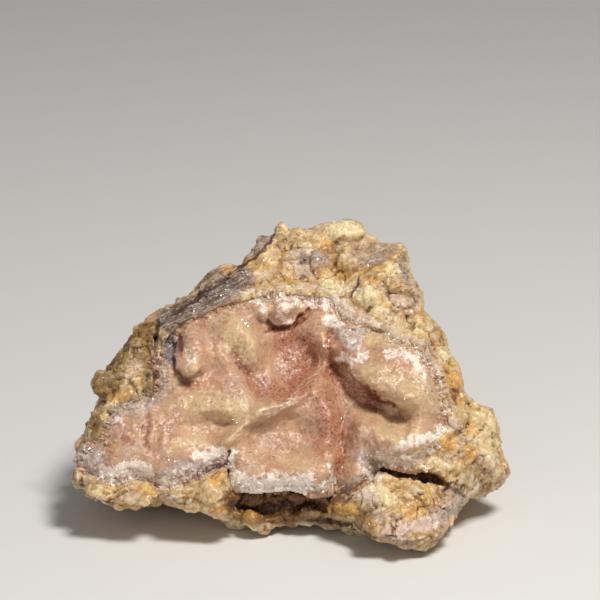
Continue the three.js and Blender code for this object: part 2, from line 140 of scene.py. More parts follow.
camera_data = bpy.data.cameras.new("camera")
camera_data.lens = LENS
camera_data.sensor_width = SENSOR
camera = bpy.data.objects.new("camera", camera_data)
camera.location = aim - INTO * distance
camera.rotation_euler = (math.pi / 2 - LEAN, 0, 0)
bpy.context.scene.collection.objects.link(camera)
bpy.context.scene.camera = camera
print("camera stands back", round(distance, 3), "m")

# %% [markdown]
# ## Distances, soft masks and ledges
#
# A ridge, a groove, a vein or a coloured patch is described in the same way: by a line on the face and
# a half width. A soft mask is 1 along the line and falls to 0 past the half width. A ledge is 1 on
# the line and falls off on its right-hand side only, so it makes a crisp step. The same masks shape
# the mesh and colour it, so the two always agree.

# %% Soft masks
def rise(start, end, value):
    """A smooth step from 0 at start to 1 at end."""
    x = np.clip((value - start) / (end - start), 0, 1)
    return x * x * (3 - 2 * x)


def fall(start, end, value):
    """A smooth step from 1 at start to 0 at end."""
    return 1 - rise(start, end, value)


def along_line(places, line):
    """How far places are from a line, on which side (1 is right) and how far along it (0 to 1)."""
    line = np.array(line, dtype=float)
    lengths = np.linalg.norm(np.diff(line, axis=0), axis=1)
    before = np.concatenate([[0], np.cumsum(lengths)])
    nearest = np.full(len(places), np.inf)
    side = np.ones(len(places))
    position = np.zeros(len(places))
    for start, end, length, passed in zip(line[:-1], line[1:], lengths, before):
        edge = end - start
        away = places - start
        share = np.clip(away @ edge / length**2, 0, 1)
        reach = np.linalg.norm(away - np.outer(share, edge), axis=1)
        closer = reach < nearest
        nearest = np.where(closer, reach, nearest)
        turn = np.sign(edge[0] * away[:, 1] - edge[1] * away[:, 0])
        side = np.where(closer, turn, side)
        position = np.where(closer, (passed + share * length) / before[-1], position)
    return nearest, side, position


def band(places, line, half):
    """A soft mask round a line."""
    return fall(0.2, 1.8, along_line(places, line)[0] / half)


def ledge(places, line, reach):
    """A mask that starts with a step at the line and fades on its right-hand side."""
    distance_away, side, position = along_line(places, line)
    signed = distance_away * side
    ends = rise(0, 0.12, position) * fall(0.88, 1, position)
    return rise(-0.9, 0.9, signed) * fall(0, reach, signed) * ends


def bands(places, features):
    """The strongest of several soft masks, each a line, a half width and a strength."""
    total = np.zeros(len(places))
    for line, half, strength in features:
        total = np.maximum(total, strength * band(places, line, half))
    return total


print("a band at 0, 1 and 2 half widths:", fall(0.2, 1.8, np.array([0, 1, 2])))

# %% [markdown]
# ## Grains as cells
#
# Packed grains fill space like the cells of a Voronoi pattern: every point belongs to its nearest
# seed. Each cell gets numbers of its own from its seed's place, for its height, its tilt and its
# tone, and the gap between the nearest and the second seed tells how near a joint is. Nothing that
# grows is drawn with a ruler, so places are also shaken by soft noise before a pattern is laid on them.

# %% Cells
def numbers_of(seeds, count):
    """Steady pseudo-random numbers from 0 to 1 for each seed's place."""
    base = seeds @ np.array([12.9898, 78.233, 37.719])
    columns = [np.sin(base * (1 + 0.37 * k) + 4.1 * k) * 43758.5453 for k in range(count)]
    return np.column_stack(columns) % 1.0


def facets(points, size, tilt, joint_width, joint_depth, dome=0.0):
    """Heights of tilted grains, flat or domed, the mask of their joints and a tone for each grain."""
    seeds = np.empty_like(points)
    reach = np.empty((len(points), 2))
    for i, point in enumerate(points / size):
        distances, places = noise.voronoi(Vector(point))
        seeds[i] = places[0]
        reach[i] = distances[:2]
    own = numbers_of(seeds, 4)
    gaps = fall(0, joint_width, reach[:, 1] - reach[:, 0])
    slope = np.einsum("ij,ij->i", points / size - seeds, own[:, 1:4] - 0.5)
    height = (own[:, 0] - 0.5) + 2 * tilt * slope + dome * (0.3 - reach[:, 0] ** 2)
    return height - joint_depth * gaps, gaps, own[:, 0]


def wander(points, size, octaves=3):
    """Soft cloudy noise, from about -1 to 1."""
    return np.array([noise.fractal(Vector(point), 0.9, 2.0, octaves) for point in points / size])


def shaking(points, size, offsets, octaves=3):
    """Columns of cloudy noise, one for each offset of its pattern, to shake places with."""
    return np.column_stack([wander(points + offset, size, octaves) for offset in offsets])


print("own numbers of one seed:", np.round(numbers_of(np.ones((1, 3)), 4), 2))

# %% [markdown]
# ## From arrays to a mesh
#
# Long meshes are made from whole arrays, because adding vertices one by one is slow. A value that the
# finish needs, such as a mask, is stored on the vertices under a name.

# %% Meshes
def piece_of(name, points, faces, smooth=True):
    """A new object from arrays of points and faces."""
    mesh = bpy.data.meshes.new(name)
    mesh.from_pydata(np.asarray(points).tolist(), [], np.asarray(faces).tolist())
    mesh.polygons.foreach_set("use_smooth", [smooth] * len(mesh.polygons))
    mesh.update()
    piece = bpy.data.objects.new(name, mesh)
    bpy.context.scene.collection.objects.link(piece)
    return piece


def store(piece, name, values):
    """Keeps one number for each vertex, for the finish to read."""
    layer = piece.data.attributes.new(name, "FLOAT", "POINT")
    layer.data.foreach_set("value", np.asarray(values, dtype=np.float32))


def normals_of(mesh):
    """The directions of a mesh's vertices."""
    flat = np.empty(len(mesh.vertices) * 3)
    mesh.vertices.foreach_get("normal", flat)
    return flat.reshape(-1, 3)


def edges_of(mesh):
    """The two ends of each edge, as the numbers of its vertices."""
    flat = np.empty(len(mesh.edges) * 2, dtype=int)
    mesh.edges.foreach_get("vertices", flat)
    return flat.reshape(-1, 2)


def smoothed(values, edges, rounds, factor=0.5):
    """Values or places averaged with their neighbours along the edges, several times."""
    values = np.array(values, dtype=float)
    ends = np.concatenate([edges[:, 0], edges[:, 1]])
    others = np.concatenate([edges[:, 1], edges[:, 0]])
    counts = np.maximum(np.bincount(ends, minlength=len(values)), 1)
    columns = values.reshape(len(values), -1)
    for _ in range(rounds):
        sums = [np.bincount(ends, column[others], len(values)) for column in columns.T]
        columns = (1 - factor) * columns + factor * (np.column_stack(sums) / counts[:, None])
    return columns.reshape(values.shape)


def hollowness(points, normals, edges, rounds):
    """How deep each point lies below its softened surroundings, in millimetres."""
    return np.einsum("ij,ij->i", smoothed(points, edges, rounds) - points, normals) / MM


def inside_box(points):
    """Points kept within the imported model's box."""
    return np.clip(points, np.array(cad_box[0]), np.array(cad_box[1]))


print("the plain crust has", len(edges_of(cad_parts["crystal_crust"].data)), "edges")

# %% [markdown]
# ## The crust's form
#
# The crust is a relief on the leaning face. Its large swells and hollows are already in the solid, so
# rays are cast onto the solid along the direction into the rock, on a grid finer than a crystal, and
# from behind to find its flat back. The heights are softened a little, to lose the solid's flat
# facets, and the sharper forms are added by name.

# %% Rays onto the crust
STEP = 0.19 * MM
RAY_START = 5 * MM
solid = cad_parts["crystal_crust"].data
tree = BVHTree.FromPolygons([v.co for v in solid.vertices], [p.vertices[:] for p in solid.polygons])
u_solid, t_solid, w_solid = to_face(points_of(solid))
columns = np.arange(u_solid.min() - 2 * STEP, u_solid.max() + 2 * STEP, STEP)
rows = np.arange(w_solid.min() - 2 * STEP, w_solid.max() + 2 * STEP, STEP)


def depth_map(start_depth, direction):
    """Where rays across the whole face meet the solid, or nan where they miss it."""
    found = np.full((len(rows), len(columns)), np.nan)
    ray = Vector(INTO * direction)
    for r, w in enumerate(rows):
        starts = to_row(columns, np.full(len(columns), start_depth), np.full(len(columns), w))
        for c, start in enumerate(starts):
            hit = tree.ray_cast(Vector(start), ray)
            if hit[3] is not None:
                found[r, c] = start_depth + direction * hit[3]
    return found


front_depth = depth_map(t_solid.min() - RAY_START, 1)
back_depth = depth_map(t_solid.max() + RAY_START, -1)
on_crust = ~np.isnan(front_depth) & ~np.isnan(back_depth)
print("rays:", front_depth.size, "on the crust:", int(on_crust.sum()))

# %% [markdown]
# Each ray that met the crust becomes a point, and each square of four such points becomes a face. A
# point with fewer than four squares round it lies on the rim, and the reach of every point from the
# rim is kept, because the crust changes towards its broken edge.

# %% The grid of the crust
number = np.full(front_depth.shape, -1)
number[on_crust] = np.arange(on_crust.sum())
u_grid, w_grid = np.meshgrid(columns, rows)
u_crust, w_crust = u_grid[on_crust], w_grid[on_crust]
corners = [number[:-1, :-1], number[:-1, 1:], number[1:, 1:], number[1:, :-1]]
quads = np.stack(corners, axis=-1).reshape(-1, 4)
quads = quads[(quads >= 0).all(axis=1)]
sides = np.concatenate([quads[:, [0, 1]], quads[:, [1, 2]], quads[:, [2, 3]], quads[:, [3, 0]]])
crust_edges = np.unique(np.sort(sides, axis=1), axis=0)
SOFTEN_ROUNDS = 14
t_smooth = smoothed(front_depth[on_crust], crust_edges, SOFTEN_ROUNDS)
t_back = back_depth[on_crust]
face_mm = np.column_stack([u_crust, w_crust]) / MM
flat_mm = np.column_stack([face_mm, t_smooth / MM])
crust_pixels = pixels_at(u_crust, w_crust)
print("crust grid:", len(u_crust), "points,", len(quads), "squares")

# %% How far each point is from the broken rim
on_rim = np.bincount(quads.ravel(), minlength=len(u_crust)) < 4
rim_tree = kdtree.KDTree(int(on_rim.sum()))
for i in np.flatnonzero(on_rim):
    rim_tree.insert((face_mm[i, 0], face_mm[i, 1], 0), i)
rim_tree.balance()
from_rim = np.array([rim_tree.find((u, w, 0))[2] for u, w in face_mm])
print("widest reach from the rim in mm:", round(from_rim.max(), 1))

# %% [markdown]
# The named forms are kept in two tables. A fold is a line in pixels, a half width in pixels and a
# height in millimetres, positive towards the viewer. A ledge is a line, how far its right-hand side
# reaches with its height there, and the same for its left-hand side. The places are shaken before
# they are held against the lines, first by small waves and then by larger ones.

# %% Named forms of the crust
LOBE_EDGE = [(334, 358), (348, 367), (360, 380), (370, 390), (382, 399), (397, 404), (402, 414)]
TONGUE_EDGE = [(177, 338), (175, 352), (178, 369), (187, 378), (196, 373), (203, 366)]
WHITE_BLOCK_EDGE = [(264, 318), (270, 324), (280, 327), (292, 324), (300, 314), (310, 305)]
CREST = [
    (228, 436), (244, 427), (256, 423), (262, 415), (276, 407), (287, 403),
    (294, 396), (300, 387), (308, 381), (317, 375), (321, 366), (324, 344),
]
LOW_EDGE = [
    (337, 400), (342, 410), (344, 422), (344, 434), (342, 446), (339, 455), (341, 464), (336, 482),
]
HAIRLINE = [(229, 451), (228, 470), (229, 488)]
CREAM_CREASE = [(232, 352), (234, 362), (243, 371), (251, 381), (260, 391), (264, 402)]
LOBE_CREASE = [(399, 408), (403, 418), (404, 428), (401, 437)]
UPRIGHT_GROOVE = [(330, 334), (331, 352), (335, 370)]
UNDER_CREAM = [(208, 421), (222, 423), (236, 424), (249, 421)]

LEDGES = [
    (LOBE_EDGE, 17, -1.9, 26, 0.8),
    (TONGUE_EDGE, 11, -1.5, 14, 0.8),
    (WHITE_BLOCK_EDGE, 9, -1.2, 14, 0.7),
    (CREST, 13, -0.6, 9, 0.2),
]
FOLDS = [
    (LOW_EDGE, 6, -0.8),
    (CREAM_CREASE, 5, -0.6),
    (LOBE_CREASE, 4, -0.6),
    (UPRIGHT_GROOVE, 5, -0.8),
    (HAIRLINE, 0.9, -0.8),
    (UNDER_CREAM, 4, -0.3),
    (CREST, 6, 0.35),
    ([(285, 298), (285, 322)], 7, 0.5),
    ([(252, 297), (264, 302), (265, 316)], 5, 0.4),
    ([(376, 420), (380, 440)], 4, 0.5),
    ([(389, 432), (392, 446)], 5, 0.5),
    ([(352, 330), (362, 352)], 6, 0.5),
    ([(146, 404), (148, 424), (145, 446)], 3, -0.4),
    ([(301, 341), (297, 352)], 3, -0.4),
    ([(352, 430), (351, 450)], 4, -0.3),
]
shaken = crust_pixels + 2.2 * shaking(flat_mm, 1.4, (5.5, 23.0))
shaken += 3.5 * shaking(flat_mm, 4.0, (11.0, 37.0))
named = np.zeros(len(u_crust))
for line, half, height in FOLDS:
    named += height * band(shaken, line, half)
for line, right_reach, right_height, left_reach, left_height in LEDGES:
    named += right_height * ledge(shaken, line, right_reach)
    named += left_height * ledge(shaken, line[::-1], left_reach)
print("named forms from", round(named.min(), 2), "to", round(named.max(), 2), "mm")

# %% [markdown]
# Below the named forms come swells of a few millimetres, and then the crystals themselves: small flat
# facets, each with its own tilt. Over most of the crust they are grown together and low. Along the
# broken rim they are coarser, as sugar is.

# %% Swells and facets of the crust
bent_mm = flat_mm + 0.7 * shaking(flat_mm, 3.0, (0, 17.3, 34.6), 2)
swell, _, swell_tone = facets(bent_mm, size=4.2, tilt=0.25, joint_width=0.35, joint_depth=0.45)
swell = smoothed(swell, crust_edges, SOFTEN_ROUNDS)
coarse, _, coarse_tone = facets(bent_mm, size=1.5, tilt=0.5, joint_width=0.2, joint_depth=0.2)
fine, _, fine_tone = facets(flat_mm, size=0.75, tilt=0.5, joint_width=0.2, joint_depth=0.2)
rim = fall(0.4, 3.6, from_rim + 0.8 * wander(flat_mm, 2.5))
relief = named + 0.4 * swell + (0.14 + 0.4 * rim) * coarse + (0.05 + 0.15 * rim) * fine
relief += 0.3 * wander(flat_mm, 6.0)
THINNEST = 1.0 * MM
t_front = np.minimum(t_smooth - relief * MM, t_back - THINNEST)
print("crust relief from", round(relief.min(), 2), "to", round(relief.max(), 2), "mm")

# %% [markdown]
# The sheet of facets becomes a closed body. Its edge first grows a narrow strip outwards, by the
# width of a bevel. At the broken rim the strip drops away from the viewer. At the top and the right,
# where the crust grows onto the rock, it is wider and climbs towards the viewer, so that no dark slit
# opens there. The new edge is then carried to the flat back of the solid, deep in the rock.

# %% Which way the strip grows
BEVEL = 0.9 * MM
NEIGHBOURS = 2.5
DROP = 0.25
CLIMB = 1.05
WIDER = 0.9
crust = piece_of("crystal_crust_druse", to_row(u_crust, t_front, w_crust), quads)
plane_terms = np.column_stack([u_crust, w_crust, np.ones_like(u_crust)])
slopes = np.linalg.lstsq(plane_terms, t_back, rcond=None)[0]
face_tree = kdtree.KDTree(len(face_mm))
for i, (u, w) in enumerate(face_mm):
    face_tree.insert((u, w, 0), i)
face_tree.balance()


def back_at(u, w):
    """How deep the flat back of the crust lies."""
    return slopes[0] * u + slopes[1] * w + slopes[2]


def grows_on(u, w):
    """1 at the top and right, where the crust grows onto the rock, and 0 at its broken rim."""
    column, row = pixels_at(u, w).T
    return rise(190, 240, column) * fall(400, 440, row)


def strip_width(u, w):
    """How far the strip reaches out of the crust."""
    return BEVEL * (1 + WIDER * grows_on(u, w))


def strip_depth(u, t, w):
    """How deep the outer edge of the strip lies, when its inner edge lies at t."""
    return t + BEVEL * (DROP - CLIMB * grows_on(u, w))


def away_from_crust(u, w):
    """The direction across the face that leads out of the crust, for places on its rim."""
    around = [face_tree.find_range((x, y, 0), NEIGHBOURS) for x, y in zip(u / MM, w / MM)]
    middles = np.array([np.mean([place[:2] for place, _, _ in found], axis=0) for found in around])
    outward = np.column_stack([u, w]) / MM - middles
    return outward / np.linalg.norm(outward, axis=1)[:, None]


print("back of the crust: slopes", np.round(slopes[:2], 3), "depth", round(slopes[2] / MM, 1), "mm")


# %% Close the crust
def carry_rim(body, rim_edges, width_at, depth_at):
    """Grows a strip of faces from an open edge, outwards and to a depth, and returns its new edge."""
    grown = bmesh.ops.extrude_edge_only(body, edges=rim_edges)
    verts = [item for item in grown["geom"] if isinstance(item, bmesh.types.BMVert)]
    u, t, w = to_face(np.array([vert.co for vert in verts]))
    outward = away_from_crust(u, w) * width_at(u, w)[:, None]
    u, w = u + outward[:, 0], w + outward[:, 1]
    for vert, place in zip(verts, to_row(u, depth_at(u, t, w), w)):
        vert.co = place
    return [item for item in grown["geom"] if isinstance(item, bmesh.types.BMEdge)]


def close_behind(piece):
    """Grows the strip round a relief, carries its edge back to the plane behind it and closes it."""
    body = bmesh.new()
    body.from_mesh(piece.data)
    rim_edges = [edge for edge in body.edges if edge.is_boundary]
    strip_edges = carry_rim(body, rim_edges, strip_width, strip_depth)
    back_edges = carry_rim(body, strip_edges, lambda u, w: 0 * u, lambda u, t, w: back_at(u, w))
    bmesh.ops.triangle_fill(body, use_beauty=True, edges=back_edges)
    bmesh.ops.recalc_face_normals(body, faces=body.faces)
    body.to_mesh(piece.data)
    body.free()


close_behind(crust)
print("crust:", len(crust.data.vertices), "vertices,", len(crust.data.polygons), "faces")

# %% [markdown]
# ## The host rock
#
# The rock is a copy of its solid, remeshed with small even squares and softened, so that the lumps
# keep their places but lose their straight edges. Then grains of three sizes are raised from it.

# %% Rock body
VOXEL = 0.5 * MM


def remeshed(node, name, voxel):
    """A copy of a CAD node with an even mesh."""
    piece = bpy.data.objects.new(name, node.data.copy())
    bpy.context.scene.collection.objects.link(piece)
    modifier = piece.modifiers.new("remesh", "REMESH")
    modifier.mode = "VOXEL"
    modifier.voxel_size = voxel
    ready = piece.evaluated_get(bpy.context.evaluated_depsgraph_get())
    piece.data = bpy.data.meshes.new_from_object(ready)
    piece.modifiers.clear()
    piece.data.materials.clear()
    return piece


rock = remeshed(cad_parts["host_rock"], "host_rock_body", VOXEL)
rock_edges = edges_of(rock.data)
rock_points = smoothed(points_of(rock.data), rock_edges, 3)
rock.data.vertices.foreach_set("co", rock_points.ravel())
rock.data.update()
rock_normals = smoothed(normals_of(rock.data), rock_edges, 2)
rock_normals /= np.linalg.norm(rock_normals, axis=1)[:, None]
print("rock:", len(rock_points), "points,", len(rock.data.polygons), "squares")

# %% [markdown]
# The upper left of the rock is a streaky band, and so is a patch below its top right. Their streaks
# run up to the right, so the noise that shapes them is stretched along that direction.

# %% Grains of the rock body
STREAK_TILT = math.radians(28)
STREAKS = [([(160, 322), (198, 299), (242, 268)], 15), ([(352, 262), (396, 248)], 14)]
streak_along = ACROSS * math.cos(STREAK_TILT) + UP_FACE * math.sin(STREAK_TILT)
streak_across = UP_FACE * math.cos(STREAK_TILT) - ACROSS * math.sin(STREAK_TILT)

rock_mm = rock_points / MM
u_rock, t_rock, w_rock = to_face(rock_points)
rock_pixels = pixels_at(u_rock, w_rock)
faces_viewer = rise(-0.1, 0.35, -(rock_normals @ INTO))
streaky = bands(rock_pixels, [(line, half, 1.0) for line, half in STREAKS]) * faces_viewer
bent = rock_mm + 0.6 * shaking(rock_mm, 3.0, (0, 31.7, 63.4), 2)
big, big_gaps, big_tone = facets(bent, size=5.2, tilt=0.6, joint_width=0.14, joint_depth=0.5, dome=0.5)
mid, mid_gaps, mid_tone = facets(bent, size=2.4, tilt=0.6, joint_width=0.2, joint_depth=0.3, dome=0.4)
small, small_gaps, _ = facets(rock_mm, size=1.3, tilt=0.5, joint_width=0.3, joint_depth=0.2, dome=0.4)
stretched = np.column_stack([
    rock_mm @ streak_along / 7, rock_mm @ streak_across / 1.1, rock_mm @ INTO / 1.6
])
streaks = wander(stretched, 1.0, 2)
lumps = (0.55 + 0.35 * faces_viewer) * big + 0.36 * mid + 0.14 * small + 0.1 * wander(rock_mm, 1.6)
height = lumps * (1 - 0.65 * streaky) + 0.6 * streaks * streaky
print("grains raised from", round(height.min(), 2), "to", round(height.max(), 2), "mm")

# %% [markdown]
# A row of lumps sits in the undercut below the crust, and each is a line, a half width in pixels and
# a height in millimetres. The pale mass at the top is smoother than the rest, so it keeps only half
# the height of its grains.

# %% Named lumps of the rock
NAMED_LUMPS = [
    ([(244, 497), (258, 499)], 7, 2.4), ([(270, 495), (277, 500)], 6, 2.2),
    ([(286, 494), (298, 499)], 5, 1.8), ([(308, 497), (326, 498)], 5, 1.6),
    ([(336, 506), (347, 507)], 6, 1.8), ([(242, 515), (252, 518)], 6, 1.2),
    ([(304, 514), (318, 515)], 3, 1.0),
    ([(328, 517), (350, 516)], 4, 1.2), ([(284, 518), (296, 519)], 5, 0.8),
]
bumpy = rock_pixels + 2.2 * shaking(rock_mm, 1.5, (3.3, 29.0))
height += bands(bumpy, NAMED_LUMPS) * faces_viewer**2
top_mass = band(rock_pixels, [(318, 229), (374, 229)], 14) * faces_viewer
height *= 1 - 0.5 * top_mass
print("with the named lumps from", round(height.min(), 2), "to", round(height.max(), 2), "mm")

# %% [markdown]
# Crust and rock have grown together, so the rock is drawn up to the crust's rim wherever it lies just
# below it. On the right it may lie deeper and is still drawn up. Where it lies much deeper, as in the
# undercut, it stays, and the rim overhangs it. The joints beside the rim are filled as well.

# %% Draw the rock up to the rim
BURIED = 0.3
NEAR_RIM = 3
DEEPEST = 4.5
DEEPER_ON_RIGHT = 3.0
drawn = np.zeros(len(rock_points))
beside_rim = np.zeros(len(rock_points))
right_side = band(rock_pixels, [(416, 336), (434, 372), (446, 424)], 16)
deepest = DEEPEST + DEEPER_ON_RIGHT * right_side
for i, (u, t, w) in enumerate(np.column_stack([u_rock, t_rock, w_rock])):
    _, nearest, reach = rim_tree.find((u / MM, w / MM, 0))
    below = (t - t_front[nearest]) / MM + BURIED
    if -1 < below < deepest[i] and reach < NEAR_RIM:
        beside_rim[i] = fall(0.8, NEAR_RIM, reach) * fall(deepest[i] - 1.5, deepest[i], below)
        drawn[i] = max(below, 0) * beside_rim[i]
under_rim = band(rock_pixels, [(238, 498), (340, 502), (368, 492)], 26)
towards_viewer = rise(-0.3, 0.1, -(rock_normals @ INTO)) * (1 - rise(0.1, 0.5, under_rim))
drawn = smoothed(drawn * towards_viewer, rock_edges, 1)
knitted = beside_rim * towards_viewer
height += knitted * (0.4 - 0.7 * np.minimum(height, 0))
rock_points = rock_points - np.outer(drawn * MM, INTO)
print("rock drawn up at", int((drawn > 0.1).sum()), "points, by up to", round(drawn.max(), 1), "mm")

# %% Raise the grains
rock_points = inside_box(rock_points + rock_normals * (height * MM)[:, None])
rock.data.vertices.foreach_set("co", rock_points.ravel())
rock.data.update()
rock.data.polygons.foreach_set("use_smooth", [True] * len(rock.data.polygons))
print("grain heights from", round(height.min(), 2), "to", round(height.max(), 2), "mm")

# %% [markdown]
# ## Coloured zones of the rock
#
# Seen from the front, the rock has a grey-lilac streaky band at the upper left, olive and umber in the
# undercut below the rim, bright cream blocks near the top and right, orange and pink spots between
# them, and lilac patches low on the right. The umber is painted shade in the undercut, and the olive is
# the rock's own yellow-olive with painted shade added in the undercut and on the left wall. The dark
# lines are painted shade in slots, cracks and the undercut. Each is a line, a half width in pixels of
# the face, and a strength.

# %% Rock zones
ROCK_ZONES = {
    "lilac": [
        ([(166, 320), (205, 298), (240, 278)], 12, 1.0),
        ([(196, 285), (215, 272)], 6, 0.7),
        ([(254, 246), (266, 232)], 9, 0.7),
        ([(356, 252), (394, 246)], 9, 0.55),
        ([(362, 262), (384, 256)], 5, 0.8),
        ([(404, 258), (411, 282)], 5, 0.9),
        ([(304, 258), (326, 257)], 6, 0.7),
        ([(385, 535), (402, 541)], 7, 0.6),
        ([(442, 512), (456, 505)], 8, 0.6),
        ([(372, 505), (382, 520)], 6, 0.5),
        ([(426, 345), (431, 362)], 5, 0.6),
        ([(160, 487), (200, 478), (220, 462)], 5, 0.7),
        ([(84, 455), (92, 470)], 7, 0.8),
        ([(166, 492), (176, 500)], 6, 0.5),
    ],
    # painted shade: dark lines in the slots, cracks and the undercut
    "dark": [
        ([(232, 496), (280, 498), (344, 500)], 9, 0.3),
        ([(232, 502), (250, 508), (278, 508)], 4, 1.0),
        ([(280, 503), (302, 507)], 3, 0.9),
        ([(302, 500), (326, 506), (336, 512)], 2.5, 0.9),
        ([(310, 521), (336, 523), (358, 527), (374, 534)], 2.5, 0.9),
        ([(113, 402), (112, 380), (122, 356)], 2, 0.4),
        ([(96, 404), (104, 372), (118, 342)], 2, 0.35),
        ([(140, 350), (136, 376)], 2, 0.4),
        ([(72, 458), (76, 490)], 3, 0.5),
        ([(82, 480), (86, 500), (112, 502)], 3, 0.6),
        ([(156, 322), (153, 348), (155, 396)], 2.6, 1.0),
        ([(262, 249), (241, 266), (222, 281), (198, 297), (172, 316)], 1.6, 1.0),
        ([(378, 468), (400, 472), (436, 478), (446, 484)], 4, 0.9),
        ([(446, 484), (464, 496)], 2.5, 0.6),
        ([(274, 222), (271, 236), (262, 250)], 1.8, 1.0),
        ([(360, 277), (356, 284), (353, 296)], 1.2, 0.9),
        ([(340, 487), (348, 491)], 4, 1.0),
        ([(146, 336), (149, 360), (147, 386)], 2.5, 0.6),
        ([(110, 412), (106, 432)], 2, 0.8),
        ([(417, 285), (416, 312)], 1.2, 0.5),
    ],
    "cream": [
        ([(328, 283), (338, 290)], 7, 1.0),
        ([(366, 296), (376, 308)], 7, 1.0),
        ([(335, 228), (365, 226)], 12, 0.6),
        ([(262, 252), (272, 258)], 7, 0.6),
        ([(392, 270), (400, 268)], 6, 0.7),
        ([(398, 324), (412, 326)], 8, 0.6),
        ([(482, 420), (492, 450)], 11, 0.6),
        ([(300, 296), (334, 300)], 4, 0.8),
        ([(372, 490), (388, 496)], 8, 0.9),
        ([(444, 352), (442, 360)], 5, 0.9),
        ([(104, 486), (96, 494)], 6, 0.6),
        ([(300, 514), (322, 516)], 3, 0.35),
        ([(326, 518), (352, 518)], 4, 0.5),
        ([(350, 531), (364, 534)], 5, 0.9),
        ([(241, 524), (250, 528)], 5, 0.7),
    ],
    # painted shade in the undercut below the rim
    "umber": [
        ([(236, 498), (300, 500), (336, 502)], 12, 1.0),
        ([(240, 516), (290, 520)], 8, 0.7),
        ([(298, 516), (330, 520)], 6, 0.6),
    ],
    # the rock's own yellow-olive, partly painted shade in the undercut and on the left wall
    "olive": [
        ([(240, 506), (300, 508), (360, 520)], 14, 1.0),
        ([(98, 390), (112, 362), (136, 338)], 16, 0.8),
        ([(146, 330), (148, 390)], 7, 0.8),
        ([(92, 420), (98, 436)], 7, 0.9),
        ([(392, 290), (418, 294)], 7, 0.5),
        ([(448, 470), (478, 470)], 8, 0.4),
    ],
    "orange": [
        ([(450, 370), (454, 382)], 8, 1.0),
        ([(213, 482), (224, 470)], 5, 1.0),
        ([(140, 486), (152, 490)], 5, 0.9),
        ([(264, 250), (268, 264)], 6, 0.7),
        ([(322, 232), (326, 242)], 4, 0.8),
        ([(354, 246), (358, 248)], 4, 0.6),
        ([(112, 400), (130, 392)], 7, 0.5),
        ([(436, 444), (450, 440)], 6, 0.8),
        ([(472, 424), (476, 434)], 5, 0.7),
        ([(468, 446), (468, 456)], 4, 0.9),
        ([(408, 512), (424, 500)], 9, 0.6),
        ([(366, 282), (378, 280)], 5, 0.7),
        ([(462, 400), (466, 404)], 5, 0.7),
        ([(332, 508), (350, 508)], 6, 0.9),
        ([(240, 514), (256, 520)], 5, 0.5),
    ],
    "pink": [
        ([(356, 316), (384, 330), (412, 346), (430, 374)], 8, 0.6),
        ([(296, 300), (340, 306), (356, 318)], 8, 0.9),
        ([(394, 296), (404, 300)], 7, 0.6),
        ([(432, 405), (446, 412)], 8, 0.4),
        ([(300, 250), (286, 256)], 5, 0.4),
        ([(360, 484), (368, 496)], 7, 0.9),
        ([(446, 420), (462, 432)], 7, 0.5),
        ([(388, 530), (436, 516), (460, 502)], 8, 0.8),
        ([(300, 268), (326, 262)], 9, 0.5),
    ],
}
blur = 2.2 * shaking(rock_mm, 2.5, (11.3, 57.1))
rock_values = {
    name: bands(rock_pixels + blur, features) * faces_viewer for name, features in ROCK_ZONES.items()
}
print("zones of the rock:", ", ".join(rock_values))

# %% [markdown]
# The other masks follow from the shape. Each grain has its own tone. Joints between grains are open
# only in places. A crevice lies deeper than its softened surroundings, both wide and narrow ones, and
# is darkened in the finish as painted shade. An edge stands out of them and is lightened in the finish
# as a painted highlight. Where the rock is knitted to the crust there is no joint and no crevice shade.

# %% Masks from the rock's shape
rock_values["tone"] = 0.5 + 0.3 * (big_tone - 0.5) + 0.3 * (mid_tone - 0.5) + 0.15 * wander(rock_mm, 11.0)
open_joints = rise(-0.2, 0.5, wander(rock_mm + 70, 6.0)) * (1 - 0.7 * streaky) * (1 - 0.8 * top_mass)
gaps = np.clip(0.7 * big_gaps + 0.5 * mid_gaps + 0.2 * small_gaps, 0, 1)
rock_values["joint"] = open_joints * gaps * (1 - knitted)
deep = hollowness(rock_points, rock_normals, rock_edges, 30)
close = hollowness(rock_points, rock_normals, rock_edges, 4)
# painted shade: places deeper than their surroundings are darkened in the finish
crevice = np.clip(rise(0.25, 0.9, deep) + 0.4 * rise(0.05, 0.2, close), 0, 1)
rock_values["crevice"] = crevice * (1 - knitted) * (1 - 0.6 * top_mass)
# painted highlight: places that stand out are lightened in the finish
rock_values["edge"] = rise(0.02, 0.14, -close)
rock_values["streaky"] = streaky * fall(250, 300, rock_pixels[:, 0])
for name, values in rock_values.items():
    store(rock, name, values)
    print("rock", name, "covers", round(float(values.mean()), 3))

# %% [markdown]
# ## Grains that stand out
#
# A remeshed surface can't show a sharp corner, and the rock is full of small ones. Thousands of sugary
# grains are therefore sunk deep into the body, each a bent block with flat faces, so that only a
# corner or an edge stands out. They are made from a few templates, turned, stretched and set at
# chosen vertices of the body, and joined in one mesh.

# %% Grain templates
random = np.random.default_rng(7)


def hull_of(points):
    """The vertices and triangles of the convex hull of a few points."""
    body = bmesh.new()
    verts = [body.verts.new(point) for point in points]
    result = bmesh.ops.convex_hull(body, input=verts)
    loose = [item for item in result["geom_interior"] if isinstance(item, bmesh.types.BMVert)]
    bmesh.ops.delete(body, geom=loose, context="VERTS")
    bmesh.ops.triangulate(body, faces=body.faces)
    bmesh.ops.recalc_face_normals(body, faces=body.faces)
    body.verts.index_update()
    places = np.array([vert.co for vert in body.verts])
    triangles = np.array([[vert.index for vert in face.verts] for face in body.faces])
    body.free()
    return places, triangles


def block_template():
    """A skewed block with its corners moved a little."""
    block = np.array([[x, y, z] for x in (-1, 1) for y in (-1, 1) for z in (-1, 1)], dtype=float)
    skew = np.eye(3) + random.uniform(-0.3, 0.3, (3, 3))
    return hull_of(block @ skew * 0.75 + random.uniform(-0.2, 0.2, (8, 3)))


